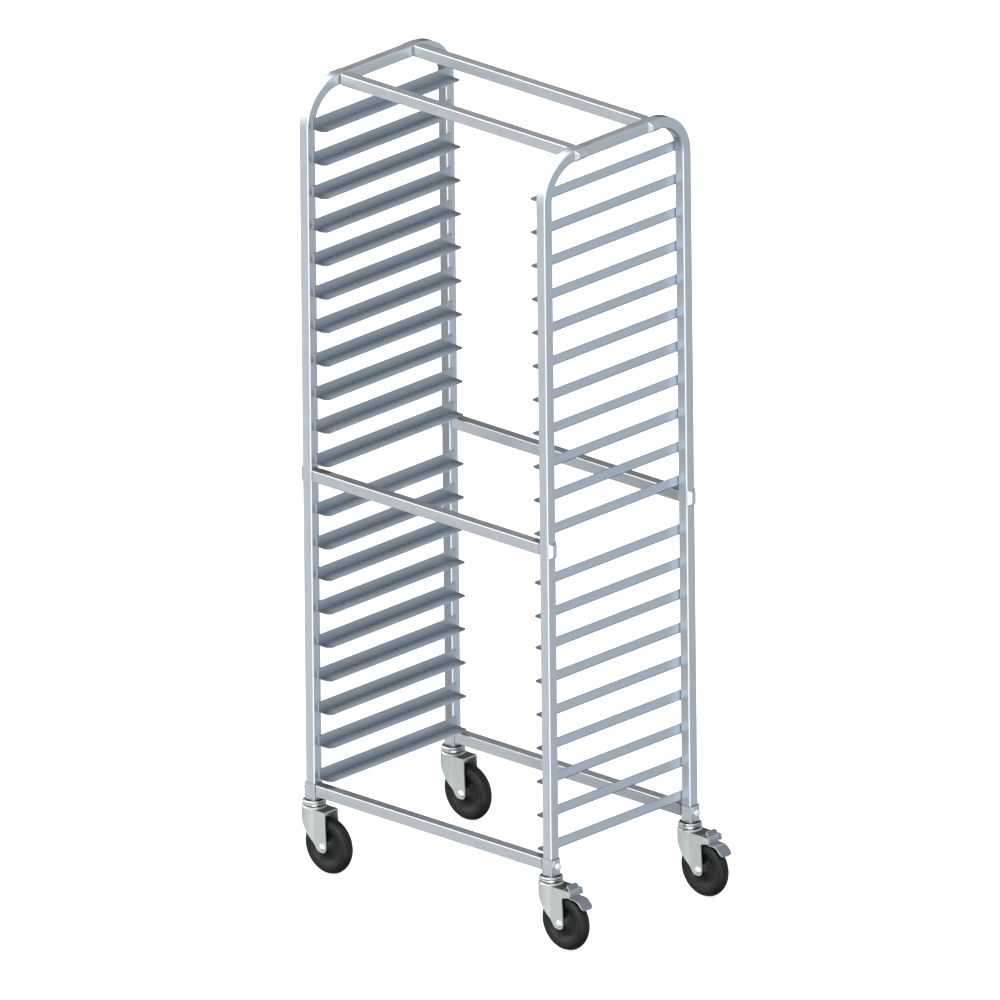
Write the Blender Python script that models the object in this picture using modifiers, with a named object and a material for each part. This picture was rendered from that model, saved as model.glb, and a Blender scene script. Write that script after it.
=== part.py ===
"""Sheet pan rack on casters: two bent-tube side frames, six cross rails, twenty
pairs of angle runners, and four swivel casters of which the right pair brakes.

Units are metres, +Z is up, X runs across the rack (a pan's long side) with left
at -X, and Y runs from the loading side at the front (-Y) to the back (+Y).
Everything is first laid out about the floor point midway between the four posts,
then moved so that the origin is on the floor under the middle of the whole rack,
casters and brakes included.
"""

import math

import bmesh
import bpy
from mathutils import Matrix, Vector

# ---------------------------------------------------------------- shared dimensions
# Dimensions of a single piece stand at the head of its section.
GAP = 0.0003            # clearance between neighbouring pieces

TUBE = 0.0254           # one-inch square tube
TUBE_WALL = 0.0016
TUBE_CORNER = 0.0032    # outer corner radius of the bent side tubes
RAIL_CORNER = 0.0017    # outer corner radius of the cross rails

POST_X = 0.3454         # post centre lines
POST_Y = 0.2161
POST_FOOT_Z = 0.1586
TOP_Z = 1.7843          # top surface of the frame
INNER_X = POST_X - TUBE / 2 - GAP   # where rails and runners meet the side frames

TOP_RAIL_Y = 0.1144     # rail centre lines
TOP_RAIL_Z = TOP_Z - TUBE / 2
MIDDLE_RAIL_Z = 0.8982
BOTTOM_RAIL_Z = 0.1821

SWIVEL_Z = 0.1476       # bottom of the upper race, and origin height of the forks
MIDDLE_X = 0.04055      # middle of the whole, measured from midway between the posts

# ---------------------------------------------------------------- scene set-up
for old in list(bpy.data.objects):
    bpy.data.objects.remove(old, do_unlink=True)

scene = bpy.context.scene
parts = bpy.data.collections.new("sheet_pan_rack")
cutters = bpy.data.collections.new("cutters")
scene.collection.children.link(parts)
scene.collection.children.link(cutters)
cutters.hide_render = True


# ---------------------------------------------------------------- materials
def material(name, colour, roughness, metallic):
    made = bpy.data.materials.new(name)
    made.use_nodes = True
    shader = made.node_tree.nodes["Principled BSDF"]
    shader.inputs["Base Color"].default_value = (*colour, 1.0)
    shader.inputs["Roughness"].default_value = roughness
    shader.inputs["Metallic"].default_value = metallic
    return made


TUBE_FINISH = material(
    "aluminium_tube", colour=(0.56, 0.59, 0.62), roughness=0.36, metallic=1.0
)
RAIL_FINISH = material(
    "aluminium_rail", colour=(0.57, 0.59, 0.61), roughness=0.38, metallic=1.0
)
RUNNER_FINISH = material(
    "aluminium_runner", colour=(0.46, 0.51, 0.58), roughness=0.34, metallic=1.0
)
SOCKET_FINISH = material(
    "aluminium_socket", colour=(0.55, 0.58, 0.60), roughness=0.42, metallic=1.0
)
FORK_FINISH = material(
    "zinc_plated_fork", colour=(0.62, 0.66, 0.63), roughness=0.30, metallic=1.0
)
WHEEL_FINISH = material(
    "black_rubber_wheel", colour=(0.020, 0.020, 0.022), roughness=0.55, metallic=0.0
)
BRAKE_FINISH = material(
    "zinc_plated_brake", colour=(0.30, 0.32, 0.35), roughness=0.45, metallic=1.0
)
PIN_FINISH = material(
    "steel_pin", colour=(0.60, 0.60, 0.58), roughness=0.30, metallic=1.0
)


# ---------------------------------------------------------------- flat outlines
CORNERS = ((1, 1), (-1, 1), (-1, -1), (1, -1))   # counter-clockwise


def arc(centre, radius, start, end, segments):
    """Points along an arc, both ends included, with the angles in degrees."""
    angles = [math.radians(start + (end - start) * i / segments) for i in range(segments + 1)]
    return [
        (centre[0] + radius * math.cos(angle), centre[1] + radius * math.sin(angle))
        for angle in angles
    ]


def rounded(width, height, radius, centre=(0.0, 0.0)):
    """A rectangle about a centre, each corner rounded in two segments."""
    points = []
    for quarter, (sign_x, sign_y) in enumerate(CORNERS):
        corner = (
            centre[0] + sign_x * (width / 2 - radius),
            centre[1] + sign_y * (height / 2 - radius),
        )
        points += arc(corner, radius, 90 * quarter, 90 * quarter + 90, 2)
    return points


def square(side):
    return [(sign_x * side / 2, sign_y * side / 2) for sign_x, sign_y in CORNERS]


def hexagon(flats, centre):
    return arc(centre, flats / math.sqrt(3), 0, 300, 5)


def rounded_end(end, half_width, radius, segments):
    """The two rounded corners at the far end of a strip, from its negative side."""
    inset, across = end - radius, half_width - radius
    return arc((inset, -across), radius, -90, 0, segments) + arc(
        (inset, across), radius, 0, 90, segments
    )


def mirrored(points):
    """The points in reverse order, with the second coordinate negated."""
    return [(first, -second) for first, second in reversed(points)]


def mitres(points):
    """Each point of a path with its mitre: the offset that moves both legs out by one."""
    path = [Vector(point) for point in points]
    headings = [(after - before).normalized() for before, after in zip(path, path[1:])]
    found = []
    for here, arriving, leaving in zip(path, headings[:1] + headings, headings + headings[-1:]):
        both = arriving + leaving
        normal = Vector((-both.y, both.x)).normalized()
        found.append((here, normal / normal.dot(Vector((-arriving.y, arriving.x)))))
    return found


def ribbon(points, thickness):
    """The closed outline of a bent sheet whose middle line passes through the points."""
    stations = mitres(points)
    left = [tuple(here + mitre * thickness / 2) for here, mitre in stations]
    right = [tuple(here - mitre * thickness / 2) for here, mitre in stations]
    return left + right[::-1]


# ---------------------------------------------------------------- helper solids
def add_helper(name, data):
    helper = bpy.data.objects.new(name, data)
    helper.hide_render = True
    cutters.objects.link(helper)
    return helper


def add_solid(name, builder):
    """A helper from a bmesh, which is used up."""
    mesh = bpy.data.meshes.new(name)
    builder.to_mesh(mesh)
    builder.free()
    return add_helper(name, mesh)


def realised(helper):
    """The helper replaced by one that holds its evaluated mesh, welded."""
    bpy.context.view_layer.update()
    graph = bpy.context.evaluated_depsgraph_get()
    mesh = bpy.data.meshes.new_from_object(helper.evaluated_get(graph))
    mesh.transform(helper.matrix_world)
    builder = bmesh.new()
    builder.from_mesh(mesh)
    bmesh.ops.remove_doubles(builder, verts=builder.verts, dist=1e-6)
    bmesh.ops.recalc_face_normals(builder, faces=builder.faces)
    builder.to_mesh(mesh)
    builder.free()
    mesh.materials.clear()
    name = helper.name
    bpy.data.objects.remove(helper, do_unlink=True)
    return add_helper(name, mesh)


# Turns that carry a curve's own X, Y and depth onto the axes of the rack.
ALONG = {
    "X": Matrix(((0, 0, 1, 0), (1, 0, 0, 0), (0, 1, 0, 0), (0, 0, 0, 1))),
    "Y": Matrix(((1, 0, 0, 0), (0, 0, -1, 0), (0, 1, 0, 0), (0, 0, 0, 1))),
    "Z": Matrix.Identity(4),
}


def prism(name, outlines, axis, start, end):
    """Outlines in (Y, Z), (X, Z) or (X, Y), pushed along the X, Y or Z axis."""
    curve = bpy.data.curves.new(name, "CURVE")
    curve.dimensions = "2D"
    curve.fill_mode = "BOTH"
    curve.extrude = abs(end - start) / 2
    for outline in outlines:
        spline = curve.splines.new("POLY")
        spline.points.add(len(outline) - 1)
        for point, (first, second) in zip(spline.points, outline):
            point.co = (first, second, 0, 1)
        spline.use_cyclic_u = True
    shift = Vector((0, 0, 0))
    shift["XYZ".index(axis)] = (start + end) / 2
    helper = add_helper(name, curve)
    helper.matrix_world = Matrix.Translation(shift) @ ALONG[axis]
    return realised(helper)


def turned(name, profile, steps):
    """A closed (radius, z) profile turned about the Z axis."""
    count = len(profile)
    mesh = bpy.data.meshes.new(name)
    mesh.from_pydata(
        [(radius, 0, z) for radius, z in profile],
        [(i, (i + 1) % count) for i in range(count)],
        [],
    )
    helper = add_helper(name, mesh)
    screw = helper.modifiers.new("turn", "SCREW")
    screw.steps = screw.render_steps = steps
    screw.use_merge_vertices = True
    screw.merge_threshold = 0.00001
    return realised(helper)


def cylinder(name, radius, low, high, axis, centre, sides=16):
    """A cylinder along Z about an (X, Y) centre, or along Y about an (X, Z) centre."""
    builder = bmesh.new()
    bmesh.ops.create_cone(
        builder, cap_ends=True, segments=sides, radius1=radius, radius2=radius, depth=high - low
    )
    helper = add_solid(name, builder)
    middle = (low + high) / 2
    if axis == "Y":
        turn, shift = Matrix.Rotation(math.radians(90), 4, "X"), (centre[0], middle, centre[1])
    else:
        turn, shift = Matrix.Identity(4), (centre[0], centre[1], middle)
    helper.data.transform(Matrix.Translation(shift) @ turn)
    return helper


def block(name, corner, opposite):
    """A box between two opposite corners."""
    size = [abs(far - near) for near, far in zip(corner, opposite)]
    centre = [(far + near) / 2 for near, far in zip(corner, opposite)]
    builder = bmesh.new()
    bmesh.ops.create_cube(builder, size=1)
    bmesh.ops.scale(builder, vec=size, verts=builder.verts)
    bmesh.ops.translate(builder, vec=centre, verts=builder.verts)
    return add_solid(name, builder)


def loft(name, rings):
    """A closed solid through rings of equal point counts, capped at both ends."""
    builder = bmesh.new()
    made = [[builder.verts.new(point) for point in ring] for ring in rings]
    count = len(rings[0])
    for first, second in zip(made, made[1:]):
        for i in range(count):
            j = (i + 1) % count
            builder.faces.new((first[i], first[j], second[j], second[i]))
    builder.faces.new(list(reversed(made[0])))
    builder.faces.new(made[-1])
    bmesh.ops.recalc_face_normals(builder, faces=builder.faces)
    return add_solid(name, builder)


def boolean(base, others, operation):
    """The base helper joined with, cut by or crossed with the others, all used up."""
    for other in others:
        modifier = base.modifiers.new(operation.lower(), "BOOLEAN")
        modifier.operation = operation
        modifier.solver = "EXACT"
        modifier.object = other
    result = realised(base)
    for other in others:
        bpy.data.objects.remove(other, do_unlink=True)
    return result


# ---------------------------------------------------------------- finished parts
def finished(name, helper, finish, sharp_angle=35.0):
    """The helper's mesh, named, coated and smooth-shaded; the helper is used up."""
    mesh = helper.data
    bpy.data.objects.remove(helper, do_unlink=True)
    mesh.name = name
    mesh.materials.append(finish)
    for face in mesh.polygons:
        face.use_smooth = True
    mesh.set_sharp_from_angle(angle=math.radians(sharp_angle))
    return mesh


def place(name, mesh, at=(0, 0, 0), turn=0.0, parent=None):
    """A named part that shares the mesh, turned about Z."""
    part = bpy.data.objects.new(name, mesh)
    part.location = at
    part.rotation_euler = (0, 0, turn)
    part.parent = parent
    parts.objects.link(part)
    return part


# ---------------------------------------------------------------- side tubes
BEND_RADIUS = 0.1016    # outside radius of the two upper bends
BEND_SEGMENTS = 9
BORE_OVERRUN = 0.002    # how far the hollow runs below the feet

PAD_DEPTH = 0.0090      # welded joint pads outside the rail ends
PAD_SINK = 0.0008       # overlap into the tube
PAD_LONG = 0.0182       # half lengths at the tube
PAD_SHORT = 0.0124
PAD_LONG_FACE = 0.0134  # half lengths at the outer face
PAD_SHORT_FACE = 0.0058


def side_sweep(name, outline, foot_z):
    """The section carried round the inverted U that lies in the left posts' plane."""
    radius = BEND_RADIUS - TUBE / 2
    straight = POST_Y - radius
    spring = TOP_Z - BEND_RADIUS
    path = [(-POST_Y, foot_z)]
    path += arc((-straight, spring), radius, 180, 90, BEND_SEGMENTS)
    path += arc((straight, spring), radius, 90, 0, BEND_SEGMENTS)
    path.append((POST_Y, foot_z))
    rings = [
        [
            (-POST_X + across, here.x + mitre.x * out, here.y + mitre.y * out)
            for across, out in outline
        ]
        for here, mitre in mitres(path)
    ]
    return loft(name, rings)


def joint_pad(y, z, long_axis):
    """A welded pad on the outer face of the left tube, tapering outwards."""
    face_x = -POST_X - TUBE / 2
    rings = []
    for x, long, short in (
        (face_x + PAD_SINK, PAD_LONG, PAD_SHORT),
        (face_x, PAD_LONG, PAD_SHORT),
        (face_x - PAD_DEPTH, PAD_LONG_FACE, PAD_SHORT_FACE),
    ):
        half_y, half_z = (long, short) if long_axis == "Y" else (short, long)
        rings.append([(x, y + sign_y * half_y, z + sign_z * half_z) for sign_y, sign_z in CORNERS])
    return loft("pad", rings)


def side_tube():
    outer = side_sweep("side_outer", rounded(TUBE, TUBE, TUBE_CORNER), POST_FOOT_Z)
    inner = side_sweep("side_inner", square(TUBE - 2 * TUBE_WALL), POST_FOOT_Z - BORE_OVERRUN)
    tube = boolean(outer, [inner], "DIFFERENCE")
    pads = [
        joint_pad(-TOP_RAIL_Y, TOP_RAIL_Z, "Y"),
        joint_pad(TOP_RAIL_Y, TOP_RAIL_Z, "Y"),
        joint_pad(-POST_Y, MIDDLE_RAIL_Z, "Z"),
        joint_pad(POST_Y, MIDDLE_RAIL_Z, "Z"),
    ]
    return boolean(tube, pads, "UNION")


side_mesh = finished("side_tube", side_tube(), TUBE_FINISH)
place("side_tube_left", side_mesh)
place("side_tube_right", side_mesh, turn=math.pi)

# ---------------------------------------------------------------- top and middle rails
rail_section = [rounded(TUBE, TUBE, RAIL_CORNER), square(TUBE - 2 * TUBE_WALL)]
rail_mesh = finished(
    "cross_rail", prism("rail", rail_section, "X", -INNER_X, INNER_X), RAIL_FINISH
)
for level, rail_y, rail_z in (
    ("top", TOP_RAIL_Y, TOP_RAIL_Z),
    ("middle", POST_Y, MIDDLE_RAIL_Z),
):
    place(f"{level}_rail_front", rail_mesh, (0, -rail_y, rail_z))
    place(f"{level}_rail_back", rail_mesh, (0, rail_y, rail_z))

# ---------------------------------------------------------------- bottom rails
SLEEVE_OUT = 0.0027     # how far the corner sleeve stands out of the post
SLEEVE_IN = 0.0016
SLEEVE_BACK = 0.0011
SLEEVE_TOP_Z = 0.1973
SLEEVE_CORNER = 0.0038
SLEEVE_FLOOR = 0.0012   # thickness below the post's foot
SLEEVE_RIM_HEIGHT = 0.0030   # height of the tapered rim, and its inset
SLEEVE_RIM_INSET = 0.0005
SOCKET_FLOOR_Z = POST_FOOT_Z - GAP
CAVITY_OVERRUN = 0.003
SLEEVE_LOW_X = POST_X - TUBE / 2 - SLEEVE_IN
SLEEVE_HIGH_X = POST_X + TUBE / 2 + SLEEVE_OUT

RAIL_END_X = 0.3295     # the bottom rail stops short of its sleeve
RAIL_HOLLOW = 0.0176    # side of the square hollow through rail and necks
NECK = 0.0206           # the narrower neck that joins rail and sleeve
NECK_IN_RAIL = 0.0040   # overlaps of the neck
NECK_IN_SLEEVE = 0.0006

BOLT_Z = 0.1820
BOLT_FLATS = 0.0127
BOLT_STANDS = 0.0105
BOLT_SINK = 0.0010

RACE_BORE = 0.0064
BORE_LOW_Z, BORE_HIGH_Z = 0.1400, 0.1600
RACE_SEAT_Z = SOCKET_FLOOR_Z - 0.0008   # recessed top inside the rim
RACE_SEAT_RADIUS = 0.0214
RACE_RIM_Z = 0.1592
# (radius, z) of the upper race, from the bore over the rim to the bottom
RACE_PROFILE = [
    (RACE_BORE, SWIVEL_Z), (RACE_BORE, RACE_SEAT_Z), (RACE_SEAT_RADIUS, RACE_SEAT_Z),
    (RACE_SEAT_RADIUS, RACE_RIM_Z), (0.0229, RACE_RIM_Z), (0.0243, 0.1564),
    (0.0253, 0.1520), (0.0253, 0.1488), (0.0244, SWIVEL_Z),
]


def sleeve(side):
    """The solid sleeve round a front post's foot."""
    low_y = -POST_Y - TUBE / 2 - SLEEVE_OUT
    high_y = -POST_Y + TUBE / 2 + SLEEVE_BACK
    centre = (side * (SLEEVE_LOW_X + SLEEVE_HIGH_X) / 2, (low_y + high_y) / 2)
    rings = []
    for z, inset in (
        (SOCKET_FLOOR_Z - SLEEVE_FLOOR, 0.0),
        (SLEEVE_TOP_Z - SLEEVE_RIM_HEIGHT, 0.0),
        (SLEEVE_TOP_Z, SLEEVE_RIM_INSET),
    ):
        width = SLEEVE_HIGH_X - SLEEVE_LOW_X - 2 * inset
        depth = high_y - low_y - 2 * inset
        rings.append([(x, y, z) for x, y in rounded(width, depth, SLEEVE_CORNER, centre)])
    return loft("sleeve", rings)


def corner_socket(side):
    """Sleeve, upper race, bolt and neck of a front post, on side -1 or 1."""
    race = turned("race", RACE_PROFILE, 20)
    race.data.transform(Matrix.Translation((side * POST_X, -POST_Y, 0)))
    bolt = prism(
        "bolt",
        [hexagon(BOLT_FLATS, (-POST_Y, BOLT_Z))],
        "X",
        side * (SLEEVE_HIGH_X - BOLT_SINK),
        side * (SLEEVE_HIGH_X + BOLT_STANDS),
    )
    neck = block(
        "neck",
        (side * (RAIL_END_X - NECK_IN_RAIL), -POST_Y - NECK / 2, BOTTOM_RAIL_Z - NECK / 2),
        (side * (SLEEVE_LOW_X + NECK_IN_SLEEVE), -POST_Y + NECK / 2, BOTTOM_RAIL_Z + NECK / 2),
    )
    return [sleeve(side), race, bolt, neck]


def post_cavity(side):
    outline = rounded(TUBE + 2 * GAP, TUBE + 2 * GAP, TUBE_CORNER, (side * POST_X, -POST_Y))
    return prism("cavity", [outline], "Z", SOCKET_FLOOR_Z, SLEEVE_TOP_Z + CAVITY_OVERRUN)


def bottom_rail():
    """The front bottom rail with a socket at each end."""
    outline = rounded(TUBE, TUBE, RAIL_CORNER, (-POST_Y, BOTTOM_RAIL_Z))
    bar = prism("bar", [outline], "X", -RAIL_END_X, RAIL_END_X)
    bar = boolean(bar, corner_socket(-1) + corner_socket(1), "UNION")
    half = RAIL_HOLLOW / 2
    hollow = block(
        "hollow",
        (-POST_X, -POST_Y - half, BOTTOM_RAIL_Z - half),
        (POST_X, -POST_Y + half, BOTTOM_RAIL_Z + half),
    )
    bores = [
        cylinder(
            "bore", RACE_BORE, BORE_LOW_Z, BORE_HIGH_Z, "Z", (side * POST_X, -POST_Y), sides=20
        )
        for side in (-1, 1)
    ]
    return boolean(bar, [post_cavity(-1), post_cavity(1), hollow] + bores, "DIFFERENCE")


bottom_mesh = finished("bottom_rail", bottom_rail(), SOCKET_FINISH)
place("bottom_rail_front", bottom_mesh)
place("bottom_rail_back", bottom_mesh, turn=math.pi)

# ---------------------------------------------------------------- pan runners
RUNNER_PITCH = 0.0762   # three inches between tiers
# (flange top of the first tier, number of tiers) of each evenly pitched run, going down
RUNNER_RUNS = ((1.7065, 11), (0.8332, 2), (0.6855, 7))
RUNNER_HEIGHT = 0.0240
RUNNER_LEDGE = 0.0350
RUNNER_THICK = 0.0016
RUNNER_END_Y = 0.2140
RUNNER_END_RADIUS = 0.0110
RUNNER_BEND = 0.0026    # outer radius of the bend
RUNNER_INNER_BEVEL = 0.0008
PLAN_LOW_X = -0.005     # the trimming plan's edge outside the flange
PLAN_STEP_X = 0.004     # the plan overruns the ends from the flange to here
PLAN_OVERRUN = 0.004
TRIM_OVERRUN_Z = 0.002
TRIM_OFFSET = 0.00002   # keeps trimming faces off the faces of the sheet


def runner():
    """The left runner: X = 0 on the flange's outer plane, Z = 0 at its top."""
    ledge_top = -RUNNER_HEIGHT + RUNNER_THICK
    section = [(0.0, 0.0)]
    section += arc((RUNNER_BEND, -RUNNER_HEIGHT + RUNNER_BEND), RUNNER_BEND, 180, 270, 2)
    section += [
        (RUNNER_LEDGE, -RUNNER_HEIGHT),
        (RUNNER_LEDGE, ledge_top),
        (RUNNER_THICK + RUNNER_INNER_BEVEL, ledge_top),
        (RUNNER_THICK, ledge_top + RUNNER_INNER_BEVEL),
        (RUNNER_THICK, 0.0),
    ]
    angle_bar = prism("angle_bar", [section], "Y", -RUNNER_END_Y, RUNNER_END_Y)
    half_length = RUNNER_END_Y - TRIM_OFFSET
    front_edge = [
        (PLAN_LOW_X, -RUNNER_END_Y - PLAN_OVERRUN),
        (PLAN_STEP_X, -RUNNER_END_Y - PLAN_OVERRUN),
        (PLAN_STEP_X, -half_length),
    ]
    ledge_edge = rounded_end(RUNNER_LEDGE + TRIM_OFFSET, half_length, RUNNER_END_RADIUS, 5)
    plan = front_edge + ledge_edge + mirrored(front_edge)
    trim = prism("runner_plan", [plan], "Z", -RUNNER_HEIGHT - TRIM_OVERRUN_Z, TRIM_OVERRUN_Z)
    return boolean(angle_bar, [trim], "INTERSECT")


runner_mesh = finished("runner", runner(), RUNNER_FINISH, sharp_angle=50)
tiers = [first - RUNNER_PITCH * i for first, count in RUNNER_RUNS for i in range(count)]
for number, tier_z in enumerate(tiers, start=1):
    place(f"runner_left_{number:02d}", runner_mesh, (-INNER_X, 0, tier_z))
    place(f"runner_right_{number:02d}", runner_mesh, (INNER_X, 0, tier_z), turn=math.pi)

# ---------------------------------------------------------------- caster forks
# Casters are laid out with the swivel axis at X = Y = 0 and the floor at Z = 0.
# All four trail towards +X.
CASTER_OFFSET = 0.0425  # axle from the swivel axis
WHEEL_RADIUS = 0.0635
AXLE_RADIUS = 0.0050
AXLE_OVERRUN = 0.001    # axle beyond the plates, inside its heads
AXLE_HEAD = 0.0140      # across the flats
AXLE_HEAD_STANDS = 0.0038
AXLE_HEAD_SINK = 0.0008

FORK_HALF = 0.0215      # outside half width over the fork plates
FORK_WALL = 0.0026
FORK_HEAD_RADIUS = 0.0275
FORK_BLEND = 0.0120     # radius between the round head and the plates
FORK_TOP_Z = 0.1426
FORK_PLATE_Z = 0.1396   # underside of the fork's top sheet
FORK_BLANK_Z = 0.045    # bottoms of the blank and of its hollow, before trimming
FORK_HOLLOW_Z = 0.040
FORK_END_X = 0.0485     # +X end of the plain fork's top
FORK_OVERRUN = 0.010    # blank beyond the trimmed end, and hollow beyond the blank
SIDE_TRIM_HALF = 0.035

KINGPIN_RADIUS = 0.0060
KINGPIN_LOW_Z, KINGPIN_HIGH_Z = 0.1440, 0.1600
KINGPIN_HEAD_RADIUS = 0.0090
KINGPIN_HEAD_Z, KINGPIN_TOP_Z = 0.1588, 0.1630

BRAKE_PIN_X = 0.0648    # brake pivot, measured from the swivel axis
BRAKE_PIN_Z = 0.1335
BRAKE_PIN_RADIUS = 0.0024
PIN_END_GAP = 0.0001    # the pin's ends lie this far inside the plates' outer faces
BRAKE_ARM_END_X = 0.0736
PEDAL_SLOT_LOW_Z, PEDAL_SLOT_HIGH_Z = 0.1300, 0.1500
HOLE_HALF = 0.03        # half length of the cutters for the pin's holes

# (radius, z) of the round cap on the fork
FORK_HEAD_PROFILE = [
    (0.0, 0.1404), (0.0, 0.1466), (0.0246, 0.1466), (0.0262, 0.1458),
    (FORK_HEAD_RADIUS, 0.1440), (FORK_HEAD_RADIUS, 0.1404),
]
# (x, z) round the plates seen from the side: either upper edge, then the lower edge
PLAIN_UPPER_EDGE = [
    (-0.0320, 0.1500), (FORK_END_X, 0.1500), (FORK_END_X, 0.1420), (0.0496, 0.1350),
]
BRAKED_UPPER_EDGE = [
    (-0.0320, 0.1500), (BRAKE_ARM_END_X, 0.1500), (BRAKE_ARM_END_X, 0.1300),
    (0.0712, 0.1284), (0.0560, 0.1256), (0.0518, 0.1240), (0.0502, 0.1205),
]
LOWER_EDGE = [
    (0.0527, 0.0690), (0.0529, 0.0620), (0.0510, 0.0555), (0.0465, 0.0515),
    (0.0410, 0.0503), (0.0340, 0.0507), (0.0285, 0.0525), (0.0250, 0.0560),
    (0.0148, 0.0720), (0.0012, 0.0910), (-0.0120, 0.1090), (-0.0200, 0.1210),
    (-0.0320, 0.1360),
]


def fork_plan(offset, end_x):
    """The plan outline: a round head that blends into two straight plates, set in by offset."""
    head = FORK_HEAD_RADIUS - offset
    half = FORK_HALF - offset
    blend = FORK_BLEND + offset
    blend_y = half + blend
    blend_x = math.sqrt((head + blend) ** 2 - blend_y ** 2)
    meet = math.degrees(math.atan2(blend_y, blend_x))
    back_half = [(end_x, half)]
    back_half += arc((blend_x, blend_y), blend, -90, meet - 180, 3)
    back_half += arc((0, 0), head, meet, 180, 6)[1:]
    return back_half + mirrored(back_half[:-1])


def fork_shell(braked):
    """The bent sheet: a top and two plates, open below and towards +X."""
    blank_x = (BRAKE_ARM_END_X if braked else FORK_END_X) + FORK_OVERRUN
    hollow_x = blank_x + FORK_OVERRUN
    shell = prism("fork_outer", [fork_plan(0.0, blank_x)], "Z", FORK_BLANK_Z, FORK_TOP_Z)
    hollow_plan = fork_plan(FORK_WALL, hollow_x)
    cutting = [prism("fork_inner", [hollow_plan], "Z", FORK_HOLLOW_Z, FORK_PLATE_Z)]
    if braked:
        inner_half = FORK_HALF - FORK_WALL
        cutting.append(
            block(
                "pedal_slot",
                (FORK_END_X, -inner_half, PEDAL_SLOT_LOW_Z),
                (hollow_x - FORK_OVERRUN + FORK_OVERRUN, inner_half, PEDAL_SLOT_HIGH_Z),
            )
        )
    shell = boolean(shell, cutting, "DIFFERENCE")
    edge = (BRAKED_UPPER_EDGE if braked else PLAIN_UPPER_EDGE) + LOWER_EDGE
    side_trim = prism("fork_side", [edge], "Y", -SIDE_TRIM_HALF, SIDE_TRIM_HALF)
    return boolean(shell, [side_trim], "INTERSECT")


def brake_hole():
    """The cutter for the pin's holes in plates and pedal."""
    return cylinder(
        "pin_hole", BRAKE_PIN_RADIUS + GAP, -HOLE_HALF, HOLE_HALF, "Y", (BRAKE_PIN_X, BRAKE_PIN_Z)
    )


def fork(braked):
    """The shell with its cap, kingpin and axle, moved so that Z = 0 is at the race."""
    body = fork_shell(braked)
    axle_centre = (CASTER_OFFSET, WHEEL_RADIUS)
    axle_half = FORK_HALF + AXLE_OVERRUN
    fittings = [
        turned("fork_head", FORK_HEAD_PROFILE, 22),
        cylinder("kingpin", KINGPIN_RADIUS, KINGPIN_LOW_Z, KINGPIN_HIGH_Z, "Z", (0, 0)),
        cylinder("kinghead", KINGPIN_HEAD_RADIUS, KINGPIN_HEAD_Z, KINGPIN_TOP_Z, "Z", (0, 0)),
        cylinder("axle", AXLE_RADIUS, -axle_half, axle_half, "Y", axle_centre),
    ]
    for sign in (-1, 1):
        fittings.append(
            prism(
                "axle_head",
                [hexagon(AXLE_HEAD, axle_centre)],
                "Y",
                sign * (FORK_HALF - AXLE_HEAD_SINK),
                sign * (FORK_HALF + AXLE_HEAD_STANDS),
            )
        )
    body = boolean(body, fittings, "UNION")
    if braked:
        body = boolean(body, [brake_hole()], "DIFFERENCE")
    body.data.transform(Matrix.Translation((0, 0, -SWIVEL_Z)))
    return body


# ---------------------------------------------------------------- caster wheel
HUB_WIDTH = 0.0350
# (radius, distance from the middle plane) of one side, from the bore to the tread
WHEEL_SIDE = [
    (AXLE_RADIUS + GAP, HUB_WIDTH / 2), (0.0110, HUB_WIDTH / 2), (0.0150, 0.0120),
    (0.0330, 0.0075), (0.0385, 0.0120), (0.0450, 0.0150), (0.0525, 0.0155),
    (0.0590, 0.0115), (0.0626, 0.0058),
]


def wheel():
    """Turned about the axle: a round-shouldered tyre on a recessed hub."""
    made = turned("wheel", WHEEL_SIDE + [(WHEEL_RADIUS, 0.0)] + mirrored(WHEEL_SIDE), 24)
    made.data.transform(Matrix.Rotation(math.radians(90), 4, "X"))
    return made


# ---------------------------------------------------------------- brake pedal and pin
BRAKE_SHEET = 0.0020
BRAKE_TAB_HALF = 0.0165
BRAKE_PEDAL_HALF = 0.0170
BLADE_END_X = 0.1086
BLADE_CORNER = 0.0085
BARREL_RADIUS = 0.0047
BARREL_HALF = BRAKE_PEDAL_HALF + 0.0004
TAB_TRIM_Z = (0.10, 0.16)
BLADE_TRIM_Z = (0.09, 0.14)

# (x, z) along the middle of each sheet
TAB_LINE = [(0.0600, 0.1530), (0.0690, 0.1402), (0.0694, 0.1250)]
BLADE_LINE = [
    (0.0686, 0.1247), (0.0780, 0.1254), (0.0860, 0.1250), (0.0920, 0.1224),
    (0.0975, 0.1180), (0.1085, 0.1052),
]
# (x, y) of the +Y half of the plan that trims the tab, and its middle point
TAB_HALF_PLAN = [
    (0.0900, 0.0200), (0.0660, 0.0200), (0.0644, BRAKE_TAB_HALF),
    (0.0609, 0.0148), (0.0592, 0.0110),
]
TAB_MIDDLE = (0.0588, 0.0)
# (x, y) of the -Y edge of the plan that trims the blade, outside its rounded end
BLADE_PLAN_EDGE = [(0.0600, -0.03), (0.0900, -0.03)]


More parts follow.
